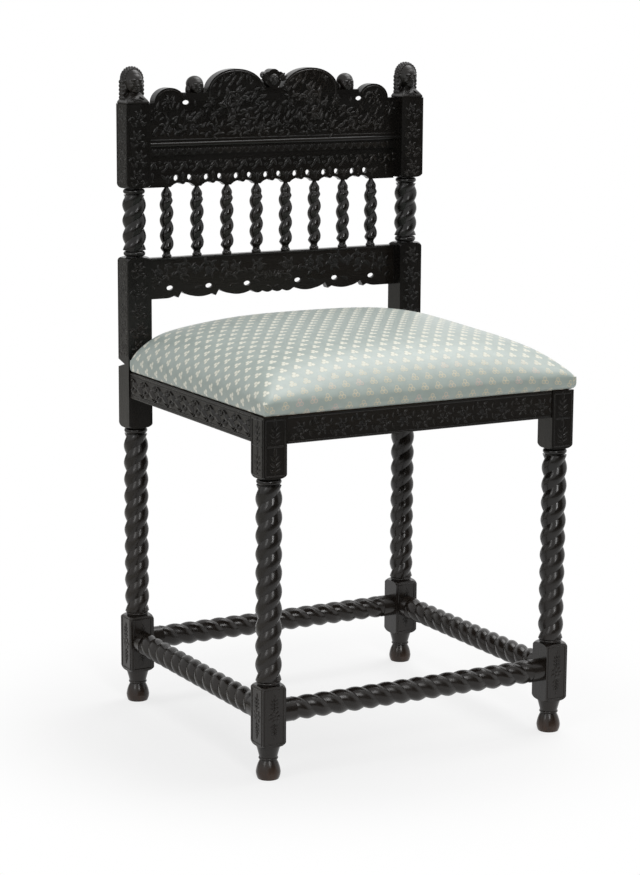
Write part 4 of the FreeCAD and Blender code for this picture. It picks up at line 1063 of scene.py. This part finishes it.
def insideCrest(u, v):
    holeU, holeHalf, holeLow = crestSet["hole"]
    if v < crestSet["foot"] or u > crestSet["end"] or (abs(u - holeU) < holeHalf and v > holeLow):
        return False
    shoulderU, shoulderV = crestSet["shoulder"]
    low = v < crestSet["board"] or (u < shoulderU and v < shoulderV)
    return low or underArch(crestSet["big"], u, v) or underArch(crestSet["small"], u, v)


def scatterOnCrest(side):  # strokes and curls over the free ground, kept apart from each other
    dice = random.Random(crestSet["seed"] + side)
    spots = []
    for _ in range(crestSet["tries"]):
        u, v, turn, long = (dice.uniform(*span) for span in crestSet["scatter"])
        tip = (abs(u + side * long * math.cos(math.radians(turn))), v + long * math.sin(math.radians(turn)))
        clear = all(math.hypot(u - spot[0], v - spot[1]) > crestSet["apart"] for spot in spots)
        if clear and insideCrest(u, v) and insideCrest(*tip):
            spots.append((u, v, turn, long, dice.random() < crestSet["curlShare"]))
    return spots


def carveCrest():
    face, tall = frontFace(crestSet["face"]), crestSet["tall"]
    curl, stroke = crestSet["curl"], crestSet["stroke"]
    bands = [archBand(), smallArchBand()]
    pieces = []
    for side, half in ((1, face), (-1, face @ flipped)):
        for step, (u, v, size, turn) in enumerate(crestSet["sprays"]):
            pieces.append(stamp(sprayPattern, half, u, v, turn, size, None, tall, step % 2 == 1))
        for u, v, long, wide, turn in crestSet["leaves"]:
            pieces.append(stamp(leafPattern, half, u, v, turn, long, wide, tall))
        for u, v, size in crestSet["daisies"]:
            pieces.append(stamp(rosettePattern, half, u, v, crestSet["daisyTurn"], size, None,
                                tall * crestSet["daisyTall"]))
        for band in bands:
            pieces.append(stamp(band, half, 0, 0, 0, 1, None, crestSet["bandTall"]))
        for turn, long in crestSet["wingLeaves"]:
            pieces.append(stamp(leafPattern, half, *crestSet["wing"], turn, long, crestSet["wingWide"],
                                crestSet["wingTall"]))
        for u, v, turn, long, curled in scatterOnCrest(side):
            if curled:
                pieces.append(stamp(curlPattern, face, side * u, v, turn + curl["turn"],
                                    long * curl["size"], None, tall * curl["tall"]))
            else:
                pieces.append(stamp(strokePattern, face, side * u, v, turn, long, long * stroke["slim"],
                                    tall * stroke["tall"]))
        pieces.append(fillet(half, 0, *crestSet["base"]))
    finishCarving(pieces, "crestCarving")
    throwAway(*bands)


friezeSet = {
    "face": 204.0, "fascia": 201.0, "tall": 0.85, "bay": 47.14, "spindles": 8, "end": 196,
    "bayRows": [(strokePattern, -4, 758, 42, 13, 5, 1), (curlPattern, -9, 752, 10, 13, None, 0.8),
                (strokePattern, 7, 756, 118, 12, 4.6, 0.8), (bossPattern, 11.5, 766, 0, 4.5, None, 1),
                (leafPattern, 10, 757, 20, 8, 4, 0.8)],
    "overSpindle": [(leafPattern, 0, 748, -90, 14, 6, 1), (leafPattern, -2, 741, 138, 11, 4.6, 1),
                    (leafPattern, 2, 741, 42, 11, 4.6, 1)],
    "between": [(leafPattern, 0, 752, -90, 11, 5, 1), (bossPattern, 0, 739, 0, 3.6, None, 1)],
    "tongue": 14.0, "tongueTop": 785.5, "tongueSize": (10, 11, 0.8), "dart": (7, 3.5, 0.6),
}


def carveFrieze():
    face, tall = frontFace(friezeSet["face"]), friezeSet["tall"]
    pieces = []
    first = -friezeSet["bay"] * (friezeSet["spindles"] - 1) / 2
    for count in range(2 * friezeSet["spindles"] + 1):
        u = first + friezeSet["bay"] * (count - 1) / 2
        if abs(u) > friezeSet["end"]:
            continue
        ending = "overSpindle" if count % 2 == 1 else "between"
        pieces += stampRows(friezeSet["bayRows"] + friezeSet[ending], face, u, tall)
    finishCarving(pieces, "friezeCarving")
    face, top, step = frontFace(friezeSet["fascia"]), friezeSet["tongueTop"], friezeSet["tongue"]
    tongues = [stamp(leafPattern, face, step * k, top, -90, *friezeSet["tongueSize"]) for k in range(-13, 14)]
    tongues += [stamp(leafPattern, face, step * (k + 0.5), top, -90, *friezeSet["dart"])
                for k in range(-14, 14)]
    finishCarving(tongues, "fasciaTongues")


backRailSet = {
    "face": 202.0, "tall": 0.75, "turn": 70, "top": (631, 200, 1.8, 0.8),
    "sprays": [(22, 612, 36), (62, 613, 36), (102, 613, 36), (142, 613, 36), (180, 611, 36)],
    "leaves": [(41, 604, 12, 5, 60), (82, 606, 12, 5, 120), (122, 606, 12, 5, 60), (161, 604, 12, 5, 120),
               (20, 590, 12, 5, 20), (70, 587, 13, 5, 165), (78, 596, 10, 4.5, 30), (125, 587, 13, 5, 165),
               (135, 597, 10, 4.5, 30), (186, 588, 12, 5, 40), (2, 596, 12, 5, 75), (2, 582, 9, 4, 20)],
}


def carveBackRail():
    face, tall = frontFace(backRailSet["face"]), backRailSet["tall"]
    pieces = []
    for half in (face, face @ flipped):
        for step, (u, v, size) in enumerate(backRailSet["sprays"]):
            turn = backRailSet["turn"] * step
            pieces.append(stamp(sprayPattern, half, u, v, turn, size, None, tall, step % 2 == 1))
        for u, v, long, wide, turn in backRailSet["leaves"]:
            pieces.append(stamp(leafPattern, half, u, v, turn, long, wide, tall))
        pieces.append(fillet(half, 0, *backRailSet["top"]))
    finishCarving(pieces, "backRailCarving")


postSet = {"rows": (749, 776, 803, 831, 621, 593, 565, 538, 512), "drop": 13.5, "sway": 40, "leafOut": 5,
           "leafLean": 50, "leaf": (10, 4.6),
           "front": {"y": 182.0, "u": 219.0, "tall": 1.1, "size": 27, "turn": 0, "flipOn": 1},
           "outer": {"x": 237.0, "u": -199, "tall": 0.6, "size": 25, "turn": 90, "flipOn": 0},
           "edges": (-213.5, -184.5), "spans": ((738, 843), (500, 632)), "edge": (1.6, 0.5)}


def carvePostFace(face, row):
    pieces = []
    for step, v in enumerate(postSet["rows"]):
        odd = step % 2
        turn = row["turn"] + postSet["sway"] * odd
        pieces.append(stamp(sprayPattern, face, row["u"], v, turn, row["size"], None, row["tall"],
                            odd == row["flipOn"]))
        for lean in (-1, 1):
            u = row["u"] + lean * postSet["leafOut"]
            turn = 90 - lean * postSet["leafLean"]
            pieces.append(stamp(leafPattern, face, u, v - postSet["drop"], turn, *postSet["leaf"],
                                row["tall"]))
    return pieces


def carvePosts():
    face = frontFace(postSet["front"]["y"])
    for side, name in ((-1, "left"), (1, "right")):
        outer = outerFace(side, postSet["outer"]["x"])
        pieces = carvePostFace(face if side > 0 else face @ flipped, postSet["front"])
        pieces += carvePostFace(outer, postSet["outer"])
        for low, high in postSet["spans"]:
            for u in postSet["edges"]:
                pieces.append(fillet(outer, u, low, high - low, *postSet["edge"], 90))
        finishCarving(pieces, "postCarving_" + name)


# borders: height and width of the lines along a rail
sideRailSet = {"x": 234.5, "pitch": 39.6, "repeats": 9, "middle": 459.5, "tall": 2.4, "half": 180.0,
               "slim": 0.92, "borders": ((476, 3), (443.8, 3), (472.6, 1.2), (447.2, 1.2)),
               "endInset": 1.2, "endLine": (444, 31, 2.4, 1.0, 90)}


def carveSideRails():
    half = sideRailSet["half"]
    for side, name in ((-1, "left"), (1, "right")):
        face = outerFace(side, sideRailSet["x"])
        pieces = []
        for k in range(sideRailSet["repeats"]):
            u = (k - (sideRailSet["repeats"] - 1) / 2) * sideRailSet["pitch"]
            pieces.append(stamp(slantPattern, face, u, sideRailSet["middle"], 0, 1, sideRailSet["slim"],
                                sideRailSet["tall"]))
        for v, wide in sideRailSet["borders"]:
            pieces.append(fillet(face, -half, v, 2 * half, wide, 1.0))
        for u in (-half + sideRailSet["endInset"], half - sideRailSet["endInset"]):
            pieces.append(fillet(face, u, *sideRailSet["endLine"]))
        finishCarving(pieces, "sideRailCarving_" + name)


frontRailSet = {"y": -214.5, "half": 200.0, "middle": 459.5, "size": 27, "pitch": 30.6, "count": 13,
                "tall": 1.0, "leafOff": 3, "leafTurn": 75, "leaf": (9, 4.2),
                "borders": ((476, 3), (443.8, 3))}


def carveFrontRail():
    face = frontFace(frontRailSet["y"])
    middle, tall, half = frontRailSet["middle"], frontRailSet["tall"], frontRailSet["half"]
    pieces = []
    for k in range(frontRailSet["count"]):
        odd = k % 2
        u = (k - (frontRailSet["count"] - 1) / 2) * frontRailSet["pitch"]
        pieces.append(stamp(sprayPattern, face, u, middle, 180 * odd, frontRailSet["size"], None, tall,
                            odd == 1))
        for lean in (-1, 1):
            pieces.append(stamp(leafPattern, face, u + frontRailSet["pitch"] / 2,
                                middle + frontRailSet["leafOff"] * lean, lean * frontRailSet["leafTurn"],
                                *frontRailSet["leaf"], tall))
    for v, wide in frontRailSet["borders"]:
        pieces.append(fillet(face, -half, v, 2 * half, wide, 1.0))
    finishCarving(pieces, "frontRailCarving")


# low and seat: bottom, top and half width of the border
blockSet = {"x": 219.0, "y": 199.0, "half": 17, "tall": 1.2, "softer": 0.8, "inset": 4, "border": (2, 0.9),
            "low": (45.0, 126.0, 13.5), "seat": (398.0, 478.0, 13.8), "postOut": 1,
            "rosette": (21, 1.1), "lowPalm": (24, 22), "lowPalmOff": 9,
            "seatPalms": ((404.0, 33, 36), (442, 32, 36)), "seatBar": (12, 440, 24, 2.4, 0.8)}


def blockFrame(face, u, low, high, half):  # raised border round a block's face
    low, high = low + blockSet["inset"], high - blockSet["inset"]
    pieces = [fillet(face, u - half, v, 2 * half, *blockSet["border"]) for v in (low, high)]
    for side in (-1, 1):
        pieces.append(fillet(face, u + side * half, low, high - low, *blockSet["border"], 90))
    return pieces


def carveLowBlock(face, u):
    low, high, half = blockSet["low"]
    tall = blockSet["tall"]
    pieces = blockFrame(face, u, low, high, half)
    middle = (low + high) / 2
    size, share = blockSet["rosette"]
    pieces.append(stamp(rosettePattern, face, u, middle, 0, size, None, tall * share))
    for side, turn in ((1, 0), (-1, 180)):
        pieces.append(stamp(palmPattern, face, u, middle + side * blockSet["lowPalmOff"], turn,
                            *blockSet["lowPalm"], tall))
    return pieces


def carveSeatBlock(face, u, bold):
    low, high, half = blockSet["seat"]
    tall = blockSet["tall"] * (1.0 if bold else blockSet["softer"])
    pieces = blockFrame(face, u, low, high, half)
    for v, long, wide in blockSet["seatPalms"]:
        pieces.append(stamp(palmPattern, face, u, v, 0, long, wide, tall))
    start, *bar = blockSet["seatBar"]
    pieces.append(fillet(face, u - start, *bar))
    return pieces


def carveBlocks():
    x, y, half = blockSet["x"], blockSet["y"], blockSet["half"]
    for side, name in ((-1, "left"), (1, "right")):
        outer, front = outerFace(side, x + half), frontFace(-y - half)
        pieces = carveLowBlock(front, side * x) + carveLowBlock(outer, y)
        pieces += carveSeatBlock(front, side * x, False) + carveSeatBlock(outer, y, True)
        finishCarving(pieces, "legCarving_" + name)
        outer = outerFace(side, x + half + blockSet["postOut"])
        front, rear = frontFace(y - half), rearFace(y + half)
        pieces = carveLowBlock(outer, -y) + carveLowBlock(front, side * x) + carveLowBlock(rear, -side * x)
        finishCarving(pieces, "postBlockCarving_" + name)


carveCrest()
carveFrieze()
carveBackRail()
carvePosts()
carveSideRails()
carveFrontRail()
carveBlocks()
print("boards, posts, rails and blocks carved")


# twisted spindles under the frieze

# plain: height and radius of the turned ends; twist: where it starts, is full, wanes and stops
spindleSet = {
    "count": 8, "spacing": 47.14, "y": 208.0, "low": 632.0, "tall": 99.0, "inner": 5.9, "outer": 9.8,
    "lead": 21.6, "cells": (32, 180), "merge": 0.0001, "twist": (8, 14, 80, 85),
    "plain": [(0, 5.8), (2.0, 6.8), (4.0, 6.6), (5.5, 5.2), (9, 4.9), (14, 6.2), (84, 7.0), (88, 7.7),
              (91, 7.3), (94, 5.6), (97, 3.6), (99, 2.8)],
}


def readAlong(points, spot):
    for (a, first), (b, second) in zip(points, points[1:]):
        if spot <= b:
            return first + (second - first) * (spot - a) / (b - a)
    return points[-1][1]


def makeSpindle():  # a grid rolled into a tube whose columns follow the twist
    spindle = addGrid("spindlePattern", spindleSet["cells"])
    start, full, wane, stop = spindleSet["twist"]
    tall = spindleSet["tall"]
    twisted = [(0, 0), (start, 0), (full, 1), (wane, 1), (stop, 0), (tall, 0)]
    reach = spindleSet["outer"] - spindleSet["inner"]
    for point in spindle.data.vertices:
        phase = 2 * math.pi * (point.co.x + 0.5)
        rise = tall * (point.co.y + 0.5)
        share = readAlong(twisted, rise)
        rope = spindleSet["inner"] + reach * abs(math.cos(phase / 2))
        radius = readAlong(spindleSet["plain"], rise) * (1 - share) + rope * share
        turn = phase + 2 * math.pi * rise / spindleSet["lead"]
        point.co = (radius * math.cos(turn), radius * math.sin(turn), rise)
    closeRim(spindle, spindleSet["merge"])
    smoothOver(spindle, 45)
    return spindle


def standSpindles():
    pattern = makeSpindle()
    for k in range(spindleSet["count"]):
        x = (k - (spindleSet["count"] - 1) / 2) * spindleSet["spacing"]
        place = Matrix.Scale(millimetre, 4) @ Matrix.Translation((x, spindleSet["y"], spindleSet["low"]))
        spindle = copyTo(pattern, place, "twistSpindle_%d" % (k + 1))
        spindle.data.materials.append(ebonyTurned)
        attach(spindle, "frame")
        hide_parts("spindle_%d" % (k + 1))
    throwAway(pattern)


standSpindles()
print("spindles twisted")


# small carved heads, in millimetres from the neck's foot, looking along -Y

# middle and pairs: place and half widths of each mass; curls: depth, reach and rise of each row;
# finial, knob and crest: where a head stands on the chair and its size
headSet = {
    "middle": [((0, 1.5, 31), (13.6, 14, 15.6)), ((0, -4.0, 28.0), (12.4, 10.8, 14.0)),
               ((0, -8.4, 18.2), (6.0, 5.0, 4.6)), ((0, -14.2, 27.4), (1.7, 2.2, 4.6)),
               ((0, -15.4, 24.6), (2.6, 2.1, 1.8)), ((0, -13.6, 21.4), (3.7, 1.6, 0.9)),
               ((0, -13.4, 19.6), (3.1, 1.6, 1.0)), ((0, 4.6, 32.2), (15.2, 13.4, 15.8)),
               ((0, 1.5, 10), (8.4, 8.6, 10)), ((0, 9.0, 20), (13, 8.0, 15))],
    "pairs": [((4.9, -12.6, 32.0), (4.3, 2.0, 1.2)), ((4.8, -12.2, 29.1), (2.7, 1.9, 1.7)),
              ((4.8, -12.9, 30.5), (3.2, 1.6, 0.7)), ((4.8, -12.7, 27.8), (2.9, 1.4, 0.6)),
              ((6.4, -10.0, 23.6), (3.9, 3.5, 4.0)), ((11.4, 4.6, 20), (5.2, 7.0, 12))],
    "curls": [(-1.5, 13.0, 13.8), (3.0, 14.4, 15.0), (7.5, 14.2, 15.0), (11.5, 12.4, 13.2),
              (15.0, 9.6, 10.6)],
    "curl": (2.4, 2.4, 2.4), "curlStep": 7.5, "crown": 32.6, "voxel": 0.6, "smooth": 0.4,
    "finial": ((219, 199, 848), (1, 1, 1.02)), "knob": ((120.4, 205.5, 850.5), (0.84, 0.74, 0.70)),
    "crest": ((0, 205.5, 860.5), (0.74, 0.66, 0.62)),
}


def headMasses(curls):
    pieces = [ball("mass", place, size, 20, 14) for place, size in headSet["middle"]]
    for place, size in headSet["pairs"]:
        for side in (-1, 1):
            pieces.append(ball("mass", (side * place[0], place[1], place[2]), size, 16, 10))
    for row, (back, reach, rise) in enumerate(curls):  # rows of curls over the crown, ear to ear
        for k in range(-13 + row % 2, 14, 2):
            a = math.radians(headSet["curlStep"] * k)
            place = (reach * math.sin(a), back, headSet["crown"] + rise * math.cos(a))
            pieces.append(ball("curl", place, headSet["curl"], 8, 6))
    return pieces


# steps: rise and shrink of the shoulders; folds: place and lean of the collar's folds
bustSet = {"half": (17.4, 16.6, 1.2), "steps": ((3.2, 0.88), (3.4, 0.82), (3.4, 0.78), (3.0, 0.82)),
           "edge": 2.6, "fold": (4.6, 1.5, 1.3),
           "folds": ((6, -14.2, 8.2, 0.5), (3, -15.4, 5.4, 0.35), (12, -12.6, 5.8, 0.7)),
           "ringlets": [(14.0, 2.0), (14.4, 8.2), (8.6, 15.0)], "ringlet": (3.4, 3.4, 3.4), "ringletSteps": 5,
           "ringletTop": 29, "ringletDrop": 21}


def bustMasses():
    clearSelection()
    bpy.ops.mesh.primitive_cube_add(size=2, location=(0, 0, bustSet["half"][2]))
    bust = justAdded("bust")
    bust.scale = bustSet["half"]
    settle(bust)
    pickPoints(bust, lambda spot: spot.z > bustSet["half"][2] + 0.1)
    for rise, shrink in bustSet["steps"]:
        bpy.ops.mesh.extrude_region_move(TRANSFORM_OT_translate={"value": (0, 0, rise)})
        bpy.ops.transform.resize(value=(shrink, shrink, 1), center_override=(0, 1, 0))
    doneEditing()
    applyModifier(bust, "BEVEL", width=bustSet["edge"], segments=3, limit_method="ANGLE")
    pieces = [bust]
    steps = bustSet["ringletSteps"]
    for side in (-1, 1):  # folds of a collar falling from the neck, then ringlets of hair
        for x, y, z, turn in bustSet["folds"]:
            pieces.append(ball("fold", (side * x, y, z), bustSet["fold"], 14, 8, (0, side * turn, 0)))
        for x, y in bustSet["ringlets"]:
            for k in range(steps):
                height = bustSet["ringletTop"] - bustSet["ringletDrop"] * k / (steps - 1)
                pieces.append(ball("ringlet", (side * x, y, height), bustSet["ringlet"], 12, 8))
    return pieces


def makeHead(name, masses, rounds):
    head = joinAll(masses, name)
    takeOnly(head)
    head.data.remesh_voxel_size = headSet["voxel"]
    bpy.ops.object.voxel_remesh()
    applyModifier(head, "SMOOTH", factor=headSet["smooth"], iterations=rounds)
    takeOnly(head)
    bpy.ops.object.shade_smooth()
    return head


def placeHead(pattern, name, side, place, size):
    place = Vector((side * place[0], place[1], place[2])) * millimetre
    scale = Matrix.Diagonal([part * millimetre for part in size] + [1])
    head = copyTo(pattern, Matrix.Translation(place) @ scale, name)
    head.data.materials.append(ebonyCarved)
    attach(head, "frame")
    return head


def makeHeads():
    bust = makeHead("bustPattern", headMasses(headSet["curls"]) + bustMasses(), 2)
    small = makeHead("smallHeadPattern", headMasses([]), 8)
    for side, name in ((-1, "left"), (1, "right")):
        head = placeHead(bust, "finialHead_" + name, side, *headSet["finial"])
        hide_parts("finial_" + name)
        placeHead(small, "knobHead_" + name, side, *headSet["knob"])
    placeHead(small, "crestHead", 1, *headSet["crest"])
    throwAway(bust, small)


makeHeads()
throwAway(leafPattern, strokePattern, curlPattern, bossPattern, barPattern, rosettePattern, sprayPattern,
          palmPattern, slantPattern)
print("heads carved")
